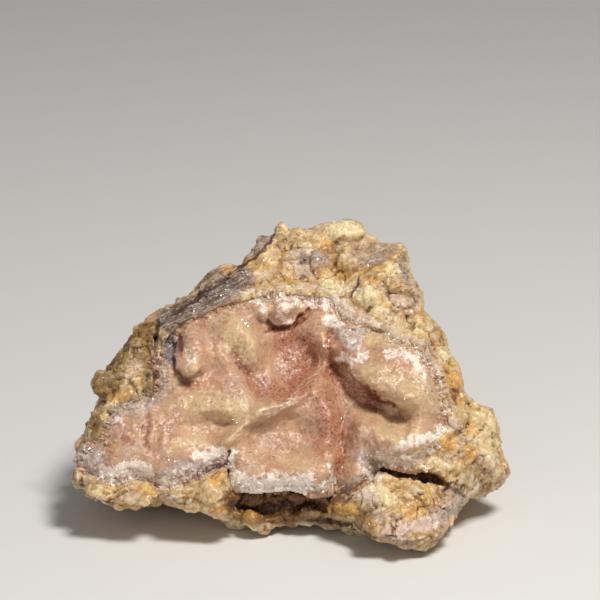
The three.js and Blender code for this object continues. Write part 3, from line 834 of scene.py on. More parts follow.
def chip_template():
    """An irregular chip: the hull of a few points near a sphere."""
    places = random.normal(size=(12, 3))
    places /= np.linalg.norm(places, axis=1)[:, None]
    return hull_of(places * random.uniform(0.85, 1.1, (12, 1)))


TEMPLATES = [block_template() for _ in range(5)] + [chip_template() for _ in range(7)]
print("templates with", [len(triangles) for _, triangles in TEMPLATES], "triangles")

# %% [markdown]
# Thousands of objects would be slow, so all the grains of one kind are joined in one mesh. Space is
# divided into little cubes and each gives one grain at most, so that no two sit on the same spot.


# %% Many grains in one mesh
def turns(count):
    """Random rotations, evenly spread."""
    quaternions = random.normal(size=(count, 4))
    quaternions /= np.linalg.norm(quaternions, axis=1)[:, None]
    a, b, c, d = quaternions.T
    matrix = [
        [1 - 2 * (c * c + d * d), 2 * (b * c - a * d), 2 * (b * d + a * c)],
        [2 * (b * c + a * d), 1 - 2 * (b * b + d * d), 2 * (c * d - a * b)],
        [2 * (b * d - a * c), 2 * (c * d + a * b), 1 - 2 * (b * b + c * c)],
    ]
    return np.array(matrix).transpose(2, 0, 1)


def spread_over(points, spacing):
    """One point from each little cube of space, chosen at random."""
    order = random.permutation(len(points))
    cubes = np.floor(points[order] / spacing).astype(int)
    _, first = np.unique(cubes, axis=0, return_index=True)
    return order[first]


def grains_piece(name, places, normals, sizes, sunk, values):
    """Many grains in one mesh: each sits at a place, sunk into the surface below it."""
    kinds = random.integers(len(TEMPLATES), size=len(places))
    rotations = turns(len(places))
    stretch = random.uniform(0.7, 1.25, (len(places), 3))
    centres = places - normals * (sizes * sunk)[:, None]
    all_points, all_faces, owners = [], [], []
    start = 0
    for kind, (block, triangles) in enumerate(TEMPLATES):
        mine = np.flatnonzero(kinds == kind)
        scaled = block[None] * (stretch[mine] * sizes[mine][:, None])[:, None]
        turned = np.einsum("nij,nkj->nki", rotations[mine], scaled) + centres[mine][:, None]
        offsets = start + len(block) * np.arange(len(mine))
        all_points.append(turned.reshape(-1, 3))
        all_faces.append((triangles[None] + offsets[:, None, None]).reshape(-1, 3))
        owners.append(np.repeat(mine, len(block)))
        start += len(block) * len(mine)
    owners = np.concatenate(owners)
    piece = piece_of(name, inside_box(np.concatenate(all_points)), np.concatenate(all_faces), False)
    for key, column in values.items():
        store(piece, key, column[owners])
    print(name, "has", len(places), "grains and", len(piece.data.polygons), "triangles")
    return piece


# %% [markdown]
# The grains sit on bare rock only: not below the crust, not on the flat patch that the specimen rests
# on and not on the streaks. Each takes the colours of the vertex that it sits on.

# %% Grains on the rock
column = np.clip(np.round((u_rock - columns[0]) / STEP).astype(int), 0, len(columns) - 1)
row = np.clip(np.round((w_rock - rows[0]) / STEP).astype(int), 0, len(rows) - 1)
crust_front, crust_back = front_depth[row, column], back_depth[row, column]
covered = (t_rock > crust_front - 0.5 * MM) & (t_rock < crust_back + 2 * MM)
resting = (rock_points[:, 2] < 0.6 * MM) & (rock_normals[:, 2] < -0.5)
bare = np.flatnonzero(~covered & ~resting & (streaky < 0.5))
chosen = bare[spread_over(rock_points[bare], 1.4 * MM)]
chosen = chosen[random.random(len(chosen)) < 0.6]
sizes = np.clip(random.gamma(5.0, 0.2, len(chosen)) * 0.4, 0.25, 0.8) * MM
grain_values = {name: values[chosen] for name, values in rock_values.items()}
grain_values["tone"] = grain_values["tone"] + random.uniform(-0.1, 0.2, len(chosen))
grain_values["joint"] = 0.3 * grain_values["joint"]
grain_values["edge"] = 0.6 * random.random(len(chosen))
grains = grains_piece(
    "host_rock_grains", rock_points[chosen], rock_normals[chosen], sizes, 0.7, grain_values
)

# %% [markdown]
# ## Coloured zones of the crust
#
# The crust is peach. It turns red-brown in its hollows and grooves, where dark specks gather, cream on
# the masses that stand out, white and lilac-grey along the broken rim, and blue-grey in one pocket.
# In the grooves under the ledges and beside the tongue the red-brown is partly painted shade, and the
# dark lines along the ledges and creases are painted shade.

# %% Crust zones
CRUST_ZONES = {
    "white": [
        ([(108, 472), (111, 486)], 6, 1.0),
        ([(114, 470), (126, 465), (140, 464), (150, 470)], 6, 1.0),
        ([(128, 474), (150, 478)], 5, 0.7),
        ([(164, 482), (176, 486)], 5, 0.8),
        ([(176, 474), (196, 468)], 5, 0.4),
        ([(198, 455), (221, 451)], 5, 0.9),
        ([(232, 452), (232, 484)], 3, 0.8),
        ([(238, 477), (256, 485), (268, 482)], 8, 1.0),
        ([(276, 478), (290, 485), (308, 480)], 8, 1.0),
        ([(252, 486), (286, 488)], 4, 0.8),
        ([(296, 486), (320, 484)], 4, 0.7),
        ([(322, 482), (336, 480)], 5, 0.5),
        ([(397, 446), (412, 441)], 5, 0.8),
        ([(416, 442), (434, 436), (442, 426)], 4, 1.0),
        ([(384, 458), (400, 462), (436, 456)], 8, 0.6),
        ([(388, 354), (406, 352)], 5, 0.6),
        ([(408, 352), (420, 360), (421, 368)], 4, 0.9),
        ([(424, 372), (426, 388)], 4, 0.4),
        ([(330, 320), (338, 326)], 5, 1.0),
        ([(344, 358), (354, 364), (366, 354)], 4, 0.7),
        ([(344, 334), (350, 342)], 7, 0.4),
        ([(285, 300), (286, 322)], 8, 0.5),
        ([(250, 298), (260, 303), (264, 317)], 4, 0.7),
        ([(296, 298), (330, 302)], 7, 0.6),
        ([(206, 306), (222, 304)], 4, 0.4),
        ([(236, 300), (252, 296)], 4, 0.5),
        ([(120, 416), (124, 424)], 3, 0.5),
        ([(366, 470), (374, 482)], 4, 0.7),
        ([(330, 466), (330, 474)], 4, 0.5),
        ([(190, 352), (192, 364)], 3, 0.6),
        ([(378, 456), (410, 456)], 3, 0.5),
        ([(264, 415), (280, 407), (296, 397)], 4, 0.35),
    ],
    "lilac": [
        ([(84, 455), (100, 460), (96, 474)], 8, 0.9),
        ([(118, 476), (134, 474), (152, 480)], 7, 0.8),
        ([(166, 474), (200, 468), (222, 460)], 9, 0.9),
        ([(336, 330), (352, 346), (362, 330)], 8, 0.7),
        ([(360, 456), (372, 470)], 8, 0.8),
        ([(380, 460), (412, 456), (440, 450)], 9, 0.45),
        ([(170, 340), (172, 362)], 8, 0.6),
        ([(262, 300), (262, 316)], 4, 0.7),
        ([(272, 486), (284, 489)], 3, 0.4),
        ([(112, 412), (128, 410), (150, 402)], 9, 0.6),
        ([(164, 372), (160, 396)], 8, 0.5),
        ([(424, 358), (430, 390)], 5, 0.4),
        ([(348, 484), (360, 478)], 5, 0.6),
    ],
    "blue": [([(168, 342), (170, 358)], 7, 1.0)],
    # the crust's own red-brown in its hollows, partly painted shade in the grooves under the ledges
    "red": [
        ([(330, 374), (350, 388), (376, 402)], 8, 1.0),
        (UPRIGHT_GROOVE, 5, 0.9),
        ([(341, 420), (340, 446), (338, 478)], 4, 0.9),
        ([(268, 328), (288, 330), (302, 318)], 4, 1.0),
        ([(290, 342), (302, 360), (298, 384)], 20, 0.75),
        ([(262, 384), (284, 394)], 9, 0.8),
        ([(326, 396), (330, 420), (326, 444)], 12, 0.7),
        ([(236, 356), (250, 378), (262, 396)], 4, 0.8),
        ([(178, 336), (182, 356)], 2.4, 1.0),
        ([(182, 382), (196, 386)], 5, 0.6),
        ([(256, 430), (252, 444)], 7, 0.35),
        ([(148, 416), (146, 444)], 5, 0.5),
        ([(126, 436), (132, 442)], 4, 0.7),
        ([(172, 420), (160, 432)], 8, 0.4),
        ([(356, 424), (350, 446)], 7, 0.5),
        ([(222, 322), (214, 346)], 5, 0.4),
        ([(401, 350), (392, 362)], 5, 0.4),
        ([(372, 374), (392, 372)], 6, 0.4),
    ],
    "cream": [
        ([(232, 332), (246, 350)], 13, 1.0),
        ([(192, 404), (240, 408)], 12, 0.8),
        ([(226, 438), (244, 426), (262, 414), (290, 402)], 7, 0.5),
        ([(375, 376), (420, 388)], 13, 0.9),
        ([(404, 402), (432, 404)], 10, 0.9),
        ([(384, 428), (412, 432)], 10, 0.8),
        ([(389, 430), (392, 446)], 5, 1.0),
        ([(176, 446), (200, 440)], 8, 0.7),
        ([(188, 350), (192, 368)], 6, 0.6),
        ([(370, 336), (392, 334)], 10, 0.8),
        ([(284, 456), (304, 464)], 10, 0.6),
        ([(202, 312), (218, 322)], 7, 0.4),
    ],
    # painted shade: dark lines in the grooves under the ledges and in the creases
    "dark": [
        ([(366, 390), (380, 402), (394, 407)], 2.8, 0.6),
        ([(347, 370), (358, 384), (368, 393)], 3, 0.4),
        ([(342, 446), (340, 458), (336, 478)], 1.6, 0.4),
        (HAIRLINE, 0.8, 1.0),
        ([(230, 350), (234, 360), (242, 371)], 2.5, 0.4),
        ([(402, 408), (404, 422)], 1.6, 0.4),
        ([(177, 332), (180, 344), (182, 352)], 2.4, 0.6),
        ([(163, 334), (161, 346)], 2.4, 0.4),
        ([(266, 330), (290, 331), (304, 318)], 2.4, 0.6),
        ([(330, 336), (332, 366)], 3, 0.4),
    ],
}
crust_values = {name: bands(shaken, features) for name, features in CRUST_ZONES.items()}
print("zones of the crust:", ", ".join(crust_values))

# %% [markdown]
# The crust gets its tone, crevices and edges from its shape, as the rock does: crevices are darkened
# as painted shade and edges are lightened as painted highlights. The vertices of the strip round it
# and of its back take the values of the nearest point of the rim.

# %% Masks from the crust's shape
crust_values["tone"] = 0.5 + 0.3 * (swell_tone - 0.5) + 0.4 * (coarse_tone - 0.5) + 0.3 * (fine_tone - 0.5)
crust_row = to_row(u_crust, t_front, w_crust)
crust_normals = normals_of(crust.data)[: len(u_crust)]
deep = hollowness(crust_row, crust_normals, crust_edges, 60)
close = hollowness(crust_row, crust_normals, crust_edges, 8)
# painted shade: places deeper than their surroundings are darkened in the finish
crevice = np.clip(rise(0.1, 0.8, deep) + 0.4 * rise(0.02, 0.12, close), 0, 1)
crust_values["crevice"] = crevice * rise(0.3, 2.0, from_rim)
# painted highlight: places that stand out are lightened in the finish
crust_values["edge"] = rise(0.01, 0.1, -close)
u_behind, _, w_behind = to_face(points_of(crust.data)[len(u_crust):])
nearest_rim = [rim_tree.find((u / MM, w / MM, 0))[1] for u, w in zip(u_behind, w_behind)]
for name, values in crust_values.items():
    store(crust, name, np.concatenate([values, values[nearest_rim]]))
    print("crust", name, "covers", round(float(values.mean()), 3))

# %% [markdown]
# ## Crystals of the druse
#
# The crust's own facets are low. A few thousand real crystals, most under a millimetre across, stand
# a little out of it, more of them and larger ones along the rim. They carry the colours of the place
# where they grow, so they show as sparkle and not as spots.

# %% Crystals on the crust
chosen = spread_over(crust_row, 0.75 * MM)
chosen = chosen[random.random(len(chosen)) < 0.12 + 0.8 * rim[chosen]]
sizes = (0.16 + 0.12 * random.random(len(chosen)) + 0.24 * rim[chosen]) * MM
crystal_values = {name: values[chosen] for name, values in crust_values.items()}
crystal_values["tone"] = 0.2 + 0.7 * random.random(len(chosen))
crystals = grains_piece(
    "crystal_crust_crystals", crust_row[chosen], crust_normals[chosen], sizes, 0.6, crystal_values
)

# %% [markdown]
# Three more rows of crystals lie along the seam between crust and rock, and knit the two together.
# They are left out where the rim hangs free over the undercut and the slot. At the upper right they
# are whiter and less lilac, like the rock beside them. In the slot on the left they are darkened as
# painted shade, larger and further out, so that they fill it.

# %% Crystals along the seam
overhang = band(crust_pixels, [(228, 496), (340, 496), (400, 470), (450, 470)], 22)
seam = np.flatnonzero((from_rim < 0.5) & (overhang < 0.3))
chosen = np.concatenate([seam[spread_over(crust_row[seam], 0.5 * MM)] for _ in range(3)])
sizes = (0.25 + 0.3 * random.random(len(chosen))) * MM
seam_values = {name: values[chosen] for name, values in crust_values.items()}
seam_values["tone"] = 0.3 + 0.6 * random.random(len(chosen))
upper_right = rise(290, 320, crust_pixels[chosen, 0])
seam_values["white"] = np.maximum(seam_values["white"], 0.6 * upper_right * random.random(len(chosen)))
seam_values["lilac"] = seam_values["lilac"] * (1 - 0.7 * upper_right)
left_slot = band(crust_pixels[chosen], [(158, 330), (158, 392)], 8)
# painted shade: dark crystals fill the shaded slot
seam_values["dark"] = np.maximum(seam_values["dark"], 0.8 * left_slot * random.random(len(chosen)))
sizes *= 1 + 0.6 * left_slot
shifts = random.uniform(0, 1.0 * MM, len(chosen)) * (1 + left_slot)
outward = away_from_crust(u_crust[chosen], w_crust[chosen]) * shifts[:, None]
seam_places = crust_row[chosen] + np.outer(outward[:, 0], ACROSS) + np.outer(outward[:, 1], UP_FACE)
seam_crystals = grains_piece(
    "crystal_crust_seam", seam_places, crust_normals[chosen], sizes, 0.4, seam_values
)

# %% [markdown]
# A few crystals catch the lamp and flash white. Each is a small plate with five uneven corners, whose
# flat face is turned halfway between the viewer and the key lamp, as a mirror would be. Each of the
# large ones is a pixel and a size in pixels, and the rest is scattered, mostly over the red hollows
# and the rim.

# %% Plates that mirror the lamp
KEY_PLACE = np.array([0.2, -0.26, 0.62])
GLINTS = [
    ((245, 322), 2.6), ((243, 319), 1.6), ((248, 325), 1.4), ((89, 446), 2.6), ((86, 449), 1.6),
    ((262, 382), 1.6), ((259, 381), 0.9), ((339, 401), 1.4), ((343, 418), 1.5), ((305, 441), 1.0),
    ((236, 421), 1.3), ((174, 404), 1.0), ((151, 398), 1.2), ((172, 460), 1.2), ((193, 312), 1.3),
    ((198, 308), 1.1), ((219, 297), 1.0), ((185, 376), 1.1), ((324, 344), 1.2), ((322, 360), 1.0),
    ((330, 322), 1.5), ((441, 428), 1.2), ((345, 279), 1.0),
]
SCATTERED = 160


def plate():
    """A small crystal with an uneven outline and one flat face upwards."""
    angles = np.sort(random.uniform(0, 2 * math.pi, 5)) + np.arange(5) * 0.2
    reach = random.uniform(0.6, 1.2, 5)
    ring = np.column_stack([reach * np.cos(angles), 0.8 * reach * np.sin(angles), np.zeros(5)])
    return hull_of(np.concatenate([ring * 0.8 + [0, 0, 0.3], ring, [[0, 0, -1.2]]]))


def glints_piece(name, places, sizes, wobble):
    """Plates at places, each turned so that it mirrors the key lamp, give or take a wobble."""
    points, faces = [], []
    start = 0
    for place, size, off in zip(places, sizes, wobble):
        block, triangles = plate()
        to_lamp = (KEY_PLACE - place) / np.linalg.norm(KEY_PLACE - place)
        up = to_lamp - INTO + off
        up /= np.linalg.norm(up)
        side = np.cross(up, UP_FACE + random.normal(size=3))
        side /= np.linalg.norm(side)
        turned = block @ np.array([side, np.cross(up, side), up])
        faces.append(triangles + start)
        points.append(place + turned * size * PIXEL)
        start += len(block)
    return piece_of(name, inside_box(np.concatenate(points)), np.concatenate(faces), False)


print("glints:", len(GLINTS), "by hand and", SCATTERED, "scattered")

# %% Glints
CLOSE_BY = 2
in_front = faces_viewer > 0.3
fronts = np.concatenate([crust_row, rock_points[in_front]])
fronts_pixels = np.concatenate([crust_pixels, rock_pixels[in_front]])
fronts_depth = to_face(fronts)[1]
glint_places = []
for pixel, _ in GLINTS:
    close_by = np.linalg.norm(fronts_pixels - pixel, axis=1) < CLOSE_BY
    nearest_front = np.argmin(np.where(close_by, fronts_depth, np.inf))
    glint_places.append(fronts[nearest_front])
likely = 0.15 + 0.6 * crust_values["red"] + 0.7 * rim
scattered = random.choice(len(crust_row), SCATTERED, replace=False, p=likely / likely.sum())
glint_places = np.concatenate([glint_places, crust_row[scattered]])
glint_sizes = np.concatenate([[size for _, size in GLINTS], random.uniform(0.4, 0.9, SCATTERED)])
wobble = random.normal(size=(len(glint_places), 3)) * 0.14
wobble[: len(GLINTS)] *= 0.2
glints = glints_piece("crystal_crust_glints", glint_places, glint_sizes, wobble)
print("glints have", len(glints.data.polygons), "triangles")

# %% [markdown]
# ## A small language for finishes
#
# A finish is a graph of nodes, and graphs are hard to read in code. One small class wraps a socket, so
# that arithmetic on masks reads as arithmetic, and one method makes any other node.

# %% Wires
class Wire:
    """A socket of a finish. Arithmetic on it adds Math nodes."""

    def __init__(self, finish, socket):
        self.finish = finish
        self.socket = socket

    def math(self, operation, first, second):
        return self.finish.node("ShaderNodeMath", {"operation": operation}, {0: first, 1: second})

    def __add__(self, other):
        return self.math("ADD", self, other)

    def __sub__(self, other):
        return self.math("SUBTRACT", self, other)

    def __rsub__(self, other):
        return self.math("SUBTRACT", other, self)

    def __mul__(self, other):
        return self.math("MULTIPLY", self, other)

    __radd__ = __add__


def screen(red, green, blue):
    """A colour given as it looks on a screen, from 0 to 255, as the shader needs it."""
    def channel(value):
        value /= 255
        return value / 12.92 if value <= 0.04045 else ((value + 0.055) / 1.055) ** 2.4

    return (channel(red), channel(green), channel(blue), 1.0)


def grey(value):
    """A grey as the shader needs it. Above 1 it brightens what it is multiplied with."""
    return (value, value, value, 1.0)


# %% Plain nodes
class Graph:
    """A material under construction."""

    def __init__(self, name):
        self.material = bpy.data.materials.new(name)
        self.material.use_nodes = True
        self.tree = self.material.node_tree
        self.tree.nodes.clear()

    def node(self, kind, settings=None, sockets=None, out=0):
        """Any node: its settings first, then the values or wires of its sockets."""
        made = self.tree.nodes.new(kind)
        for key, value in (settings or {}).items():
            if key == "stops":
                self.set_stops(made.color_ramp, value)
            else:
                setattr(made, key, value)
        for key, value in (sockets or {}).items():
            if isinstance(value, Wire):
                self.tree.links.new(value.socket, made.inputs[key])
            else:
                made.inputs[key].default_value = value
        return Wire(self, made.outputs[out]) if made.outputs else made

    def set_stops(self, ramp, stops):
        """Gives a colour ramp its places and colours."""
        while len(ramp.elements) < len(stops):
            ramp.elements.new(1.0)
        for element, (position, colour) in zip(ramp.elements, stops):
            element.position = position
            element.color = colour

    def mask(self, name):
        """A number stored on the vertices."""
        return self.node("ShaderNodeAttribute", {"attribute_name": name}, out="Fac")

    def mix(self, factor, first, second, blend="MIX"):
        """One colour mixed over another."""
        settings = {"data_type": "RGBA", "blend_type": blend, "clamp_factor": True}
        return self.node("ShaderNodeMix", settings, {0: factor, 6: first, 7: second}, out=2)

    def between(self, value, low, high):
        """A value stretched so that low becomes 0 and high becomes 1."""
        settings = {"interpolation_type": "SMOOTHSTEP"}
        return self.node("ShaderNodeMapRange", settings, {"Value": value, 1: low, 2: high})

    def place(self):
        """Where each point is, in metres."""
        return self.node("ShaderNodeTexCoord", out="Object")

    def vector(self, operation, first, second):
        """Arithmetic on places and directions."""
        second_socket = "Scale" if operation == "SCALE" else 1
        sockets = {0: first, second_socket: second}
        return self.node("ShaderNodeVectorMath", {"operation": operation}, sockets)

    def surface(self, sockets):
        """The shader that ends a finish."""
        shader = self.node("ShaderNodeBsdfPrincipled", None, sockets, out="BSDF")
        self.node("ShaderNodeOutputMaterial", None, {"Surface": shader})
        return self.material


# %% [markdown]
# Stone is never one flat colour. On top of the plain nodes come the patterns that both finishes use:
# speckle, a random number for each little crystal, zones with broken edges, clouds, cracks, and a
# normal that is tilted for each crystal, so that some catch the lamp and others don't.


# %% Patterns of stone
class Finish(Graph):
    """A material with the patterns of stone."""

    def speckle(self, place, grain, detail=3.0):
        """Noise from 0 to 1 whose spots are about as large as grain, in millimetres."""
        sockets = {"Vector": place, "Scale": 1 / (grain * MM), "Detail": detail, "Roughness": 0.6}
        return self.node("ShaderNodeTexNoise", None, sockets, out="Fac")

    def cell_colour(self, place, grain):
        """A random colour for each little crystal."""
        sockets = {"Vector": place, "Scale": 1 / (grain * MM)}
        return self.node("ShaderNodeTexVoronoi", None, sockets, out="Color")

    def cell_number(self, place, grain):
        """A random number for each little crystal."""
        return self.node("ShaderNodeSeparateColor", None, {"Color": self.cell_colour(place, grain)})

    def patchy(self, name, cloud, spread=0.5):
        """A stored zone with its edge broken up by noise."""
        return self.between(self.mask(name) + (cloud - 0.5) * spread, 0.2, 0.7)

    def clouded(self, colour, place, clouds):
        """A colour with soft clouds of others laid over it."""
        for grain, low, high, share, stain_and_shade in clouds.values():
            cover = self.between(self.speckle(place, grain), low, high)
            colour = self.mix(cover * share, colour, stain_and_shade)
        return colour

    def cracks(self, place, grain, width):
        """Thin lines between cells, about as wide as width, in millimetres, wavy and broken up."""
        waves = self.node("ShaderNodeTexNoise", None, {"Vector": place, "Scale": 1 / (1.5 * MM)}, out="Color")
        centred = self.vector("SUBTRACT", waves, (0.5, 0.5, 0.5))
        wavy = self.vector("ADD", place, self.vector("SCALE", centred, 2.5 * MM))
        sockets = {"Vector": wavy, "Scale": 1 / (grain * MM)}
        to_edge = self.node("ShaderNodeTexVoronoi", {"feature": "DISTANCE_TO_EDGE"}, sockets, out="Distance")
        broken = self.between(self.speckle(place, 3.0, 1.0), 0.45, 0.6)
        return (1 - self.between(to_edge, 0.2 * width / grain, width / grain)) * broken

    def facet_normal(self, place, grain, tilt):
        """The surface's normal, tilted at random for each little crystal."""
        centred = self.vector("SUBTRACT", self.cell_colour(place, grain), (0.5, 0.5, 0.5))
        plain = self.node("ShaderNodeNewGeometry", out="Normal")
        tilted = self.vector("ADD", plain, self.vector("SCALE", centred, tilt))
        return self.vector("NORMALIZE", tilted, (0, 0, 0))

    def bumped(self, height, depth, normal):
        """A normal with fine relief on top, whose depth is in millimetres."""
        sockets = {"Strength": 1.0, "Distance": depth * MM, "Height": height, "Normal": normal}
        return self.node("ShaderNodeBump", None, sockets)


# %% [markdown]
# ## The rock's finish
#
# Each grain has one tone, from brown through tan and yellow to cream, taken from a ramp. Soft clouds
# drift over that, each with the grain of its noise in millimetres, where the noise starts to show and
# where it is full, its share and its colour. The zones are laid over the clouds with a share and a
# colour each, and are broken up by noise so that no edge is drawn.

# %% Colours of the rock
ROCK_TONES = [
    (0.0, screen(112, 72, 34)),
    (0.25, screen(166, 122, 66)),
    (0.42, screen(200, 158, 94)),
    (0.6, screen(216, 182, 124)),
    (0.8, screen(228, 204, 158)),
    (1.0, screen(236, 222, 198)),
]
ROCK_CLOUDS = {
    "yellow": (2.6, 0.54, 0.66, 0.6, screen(224, 178, 90)),
    "veil": (3.5, 0.46, 0.62, 0.5, screen(200, 176, 158)),
    "rust": (4.2, 0.54, 0.66, 0.55, screen(178, 112, 50)),
    "milk": (5.5, 0.5, 0.68, 0.5, screen(226, 210, 184)),
}
# umber is painted shade in the undercut and olive is partly painted shade; the others are the rock's own
# colours
ROCK_STAINS_AND_SHADES = {
    "olive": (0.7, screen(128, 94, 34)),
    "umber": (0.85, screen(112, 68, 24)),
    "orange": (0.7, screen(222, 170, 88)),
    "cream": (0.7, screen(240, 222, 176)),
    "pink": (0.7, screen(226, 202, 188)),
}
print("the rock has", len(ROCK_CLOUDS), "clouds and", len(ROCK_STAINS_AND_SHADES), "stains over its tones")

# %% [markdown]
# Joints are red-brown, as iron stains them. Crevices are darkened to dark red-brown as painted shade,
# the dark lines are painted shade too, and raised edges are lightened as painted highlights. Light goes
# a little way into the grains, so they look like sugar and not chalk. The small grains get a finish of
# their own that differs only in its glow: light that goes further than a grain is wide would tint it.


# %% Rock finish
def streak_noise(finish, place):
    """Noise drawn out along the streaks of the rock."""
    settings = {"vector_type": "TEXTURE"}
    sockets = {"Vector": place, "Rotation": (0, -STREAK_TILT, 0), "Scale": (9.0, 1.0, 1.0)}
    return finish.speckle(finish.node("ShaderNodeMapping", settings, sockets), 0.5)


def rock_finish(name, glow):
    """The rock's material. Light goes as far into it as the glow, in millimetres."""
    finish = Finish(name)
    place = finish.place()
    cloud = finish.speckle(place, 1.1)
    fine = finish.speckle(place, 0.4, 2.0)
    broad = finish.speckle(place, 4.5, 3.0)
    tone = finish.mask("tone") * 0.8 + (cloud - 0.5) * 0.5 + (broad - 0.5) * 1.3
    colour = finish.node("ShaderNodeValToRGB", {"stops": ROCK_TONES}, {"Fac": tone}, out="Color")
    colour = finish.clouded(colour, place, ROCK_CLOUDS)
    # painted highlight: raised edges are lightened
    colour = finish.mix(finish.mask("edge") * 0.4, colour, screen(242, 230, 200))
    for zone, (share, stain_and_shade) in ROCK_STAINS_AND_SHADES.items():
        colour = finish.mix(finish.patchy(zone, cloud) * share, colour, stain_and_shade)
    streaks = finish.between(streak_noise(finish, place), 0.4, 0.68)
    lilac = finish.mix(streaks, screen(54, 40, 34), screen(172, 152, 146))
    # painted glints: white flecks in the streaky band
    painted_glint_flecks = finish.between(finish.speckle(place, 0.6, 1.0), 0.62, 0.68)
    lilac = finish.mix(painted_glint_flecks * 0.8, lilac, screen(226, 214, 204))
    pale = finish.mix(streaks, screen(140, 118, 104), screen(198, 182, 174))
    lilac = finish.mix(finish.mask("streaky"), pale, lilac)
    colour = finish.mix(finish.patchy("lilac", cloud, 0.8) * 0.85, colour, lilac)
    joint = finish.between(finish.mask("joint") + (fine - 0.5) * 0.4, 0.2, 1.0)
    colour = finish.mix(joint * 0.4, colour, screen(150, 102, 48))
    # painted shade: crevices are darkened to dark red-brown
    crevice = finish.between(finish.mask("crevice") + (cloud - 0.5) * 0.4, 0.3, 1.0)
    colour = finish.mix(crevice * 0.75, colour, screen(104, 50, 18))
    colour = finish.mix(finish.cracks(place, 5.5, 0.25) * 0.35, colour, screen(110, 60, 26))
    # painted shade: dark lines in the slots, cracks and the undercut
    colour = finish.mix(finish.patchy("dark", cloud, 0.9) * 0.85, colour, screen(66, 28, 10))
    relief = finish.mix(finish.mask("streaky"), cloud * 0.5 + fine * 0.5, streaks)
    few = finish.between(finish.speckle(place, 0.45, 0.0), 0.6, 0.64)
    tilt = 0.4 + few * 0.5
    return finish.surface({
        "Base Color": finish.mix(1.0, colour, finish.mix(fine, grey(0.8), grey(1.18)), "MULTIPLY"),
        "Roughness": 0.4 - few * 0.3,
        "Normal": finish.bumped(relief, 0.15, finish.facet_normal(place, 0.5, tilt)),
        "Subsurface Weight": 0.55,
        "Subsurface Radius": (1.0, 0.75, 0.5),
        "Subsurface Scale": glow * MM,
    })


rock.data.materials.append(rock_finish("granular_rock", 1.8))
grains.data.materials.append(rock_finish("granular_rock_grain", 0.4))
print("the rock's finish has", len(rock.data.materials[0].node_tree.nodes), "nodes")

# %% [markdown]
# ## The crust's finish
#
# The colours of the crust blend into each other like stains in wax, so the zones overlap softly. Its
# specks are dark red and only gather where the crust is already red. The white rim is brighter where
# the broken crystals scatter the light. Crevices and dark lines are darkened as painted shade, and
# raised edges are lightened a little as painted highlights. As in the rock, the small crystals have a
# shorter glow.

# %% Crust finish
CRUST_CLOUDS = {
    "veil": (4.0, 0.42, 0.62, 0.45, screen(196, 168, 150)),
    "blush": (2.8, 0.5, 0.66, 0.4, screen(196, 142, 112)),
}


def crust_finish(name, glow):
    """The crust's material. Light goes as far into it as the glow, in millimetres."""
    finish = Finish(name)
    place = finish.place()
    cloud = finish.speckle(place, 1.4)
    fine = finish.speckle(place, 0.35, 2.0)
    broad = finish.speckle(place, 7.0, 2.0)
    colour = finish.mix(finish.between(broad, 0.3, 0.7), screen(190, 144, 114), screen(214, 176, 140))
    colour = finish.clouded(colour, place, CRUST_CLOUDS)
    colour = finish.mix(finish.patchy("cream", cloud) * 0.6, colour, screen(214, 188, 144))
    # red-brown: the crust's own colour in its hollows, partly painted shade in the grooves
    colour = finish.mix(finish.patchy("red", cloud, 0.7) * 0.65, colour, screen(172, 108, 80))
    lilac = finish.mix(finish.cell_number(place, 0.8), screen(150, 132, 126), screen(214, 200, 192))
    colour = finish.mix(finish.patchy("lilac", cloud, 0.9) * 0.75, colour, lilac)
    colour = finish.mix(finish.patchy("blue", cloud, 0.9) * 0.8, colour, screen(112, 106, 110))
    breaks = (cloud - 0.5) * 1.8 + (finish.cell_number(place, 0.9) - 0.5) * 0.6 + (fine - 0.5) * 0.4
    near_white = finish.between(finish.mask("white"), 0.0, 0.4) * 0.75 + 0.25
    white = finish.between(finish.mask("white") + breaks * near_white, 0.15, 0.7)
    colour = finish.mix(white * 0.95, colour, screen(255, 236, 222))
    specks = finish.between(finish.speckle(place, 0.5, 1.0), 0.57, 0.63)
    colour = finish.mix(specks * finish.mask("red") * 0.85, colour, screen(104, 30, 24))
    # painted highlight: raised edges are lightened a little
    colour = finish.mix(finish.mask("edge") * 0.15, colour, screen(244, 228, 204))
    # painted shade: crevices are darkened to red-brown
    stain_and_shade = finish.between(finish.mask("crevice") + (cloud - 0.5) * 0.6, 0.2, 1.1)
    colour = finish.mix(stain_and_shade * 0.55, colour, screen(130, 70, 42))
    # painted shade: dark lines under the ledges and in the creases
    colour = finish.mix(finish.patchy("dark", cloud, 0.9) * 0.75, colour, screen(96, 42, 20))
    grain = finish.cell_number(place, 0.5) * 0.5 + finish.mask("tone") * 0.5
    colour = finish.mix(1.0, colour, finish.mix(grain, grey(0.82), grey(1.14)), "MULTIPLY")
    colour = finish.mix(1.0, colour, finish.mix(fine, grey(0.86), grey(1.14)), "MULTIPLY")
    few = finish.between(finish.speckle(place, 0.4, 0.0), 0.67, 0.7)
    tilt = 0.25 + few * 0.8
    return finish.surface({
        "Base Color": colour,
        "Roughness": 0.35 - few * 0.25,
        "Normal": finish.bumped(cloud * 0.5 + fine * 0.5, 0.1, finish.facet_normal(place, 0.5, tilt)),
        "Subsurface Weight": 0.55,
        "Subsurface Radius": (1.0, 0.72, 0.52),
        "Subsurface Scale": glow * MM,
    })


crust.data.materials.append(crust_finish("crystal_druse", 1.5))
small_crystals = crust_finish("crystal_druse_small", 0.3)
for piece in (crystals, seam_crystals):
    piece.data.materials.append(small_crystals)
print("the crust's finish has", len(crust.data.materials[0].node_tree.nodes), "nodes")

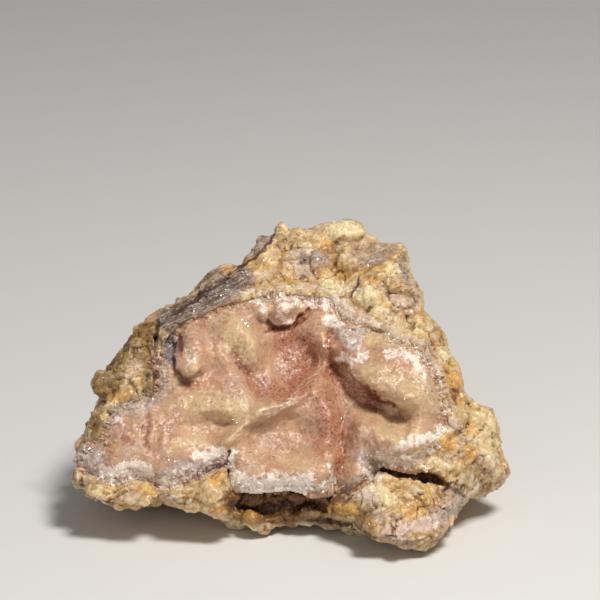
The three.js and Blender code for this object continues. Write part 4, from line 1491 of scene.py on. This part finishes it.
# %% Glint finish
glint_sockets = {"Base Color": screen(236, 228, 220), "Roughness": 0.08, "Subsurface Weight": 0.3}
glints.data.materials.append(Finish("flashing_crystal").surface(glint_sockets))
print("glints are made of", glints.data.materials[0].name)

# %% [markdown]
# ## The pieces ride on the body
#
# The dressed pieces ride on the one body. The crust and the rock take the place of their solids, which are
# hidden.

# %% Ride on the body and hide the solids
for piece in (rock, grains):
    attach(piece, "root")
for piece in (crust, crystals, seam_crystals, glints):
    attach(piece, "root")
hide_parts("host_rock")
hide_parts("crystal_crust")

# %% [markdown]
# ## Floor and light
#
# The photograph is lit from above and a little from the right. A lamp up there gives the shade under
# the lobe and the rim. A larger and weaker one, low at the front left, opens the shadows together
# with a faint even sky, and a pale floor keeps the specimen's own colours true.

# %% Floor
REACH = 6.0
floor_corners = [(-REACH, -REACH, 0), (REACH, -REACH, 0), (REACH, REACH, 0), (-REACH, REACH, 0)]
floor = piece_of("floor", floor_corners, [(0, 1, 2, 3)])
floor_sockets = {"Base Color": (0.75, 0.74, 0.72, 1), "Roughness": 0.9}
floor.data.materials.append(Finish("floor_paint").surface(floor_sockets))
print("the floor reaches", REACH, "m each way")


# %% Lamps
SKY = 0.18
MIDDLE = (0, 0, 0.03)


def lamp(name, place, size, watts, colour=(1, 1, 1)):
    """A square lamp that looks at the specimen."""
    data = bpy.data.lights.new(name, "AREA")
    data.size = size
    data.energy = watts
    data.color = colour
    made = bpy.data.objects.new(name, data)
    made.location = place
    made.rotation_euler = (Vector(MIDDLE) - Vector(place)).to_track_quat("-Z", "Y").to_euler()
    bpy.context.scene.collection.objects.link(made)


lamp("key_lamp", KEY_PLACE, 0.16, 4.4, (1.0, 0.98, 0.94))
lamp("fill_lamp", (-0.35, -0.6, 0.15), 0.6, 0.9)
world = bpy.data.worlds.new("studio")
world.use_nodes = True
world.node_tree.nodes["Background"].inputs["Color"].default_value = (1, 1, 1, 1)
world.node_tree.nodes["Background"].inputs["Strength"].default_value = SKY
bpy.context.scene.world = world
bpy.context.scene.view_settings.view_transform = "Standard"
print("lamps:", [data.name for data in bpy.data.lights])
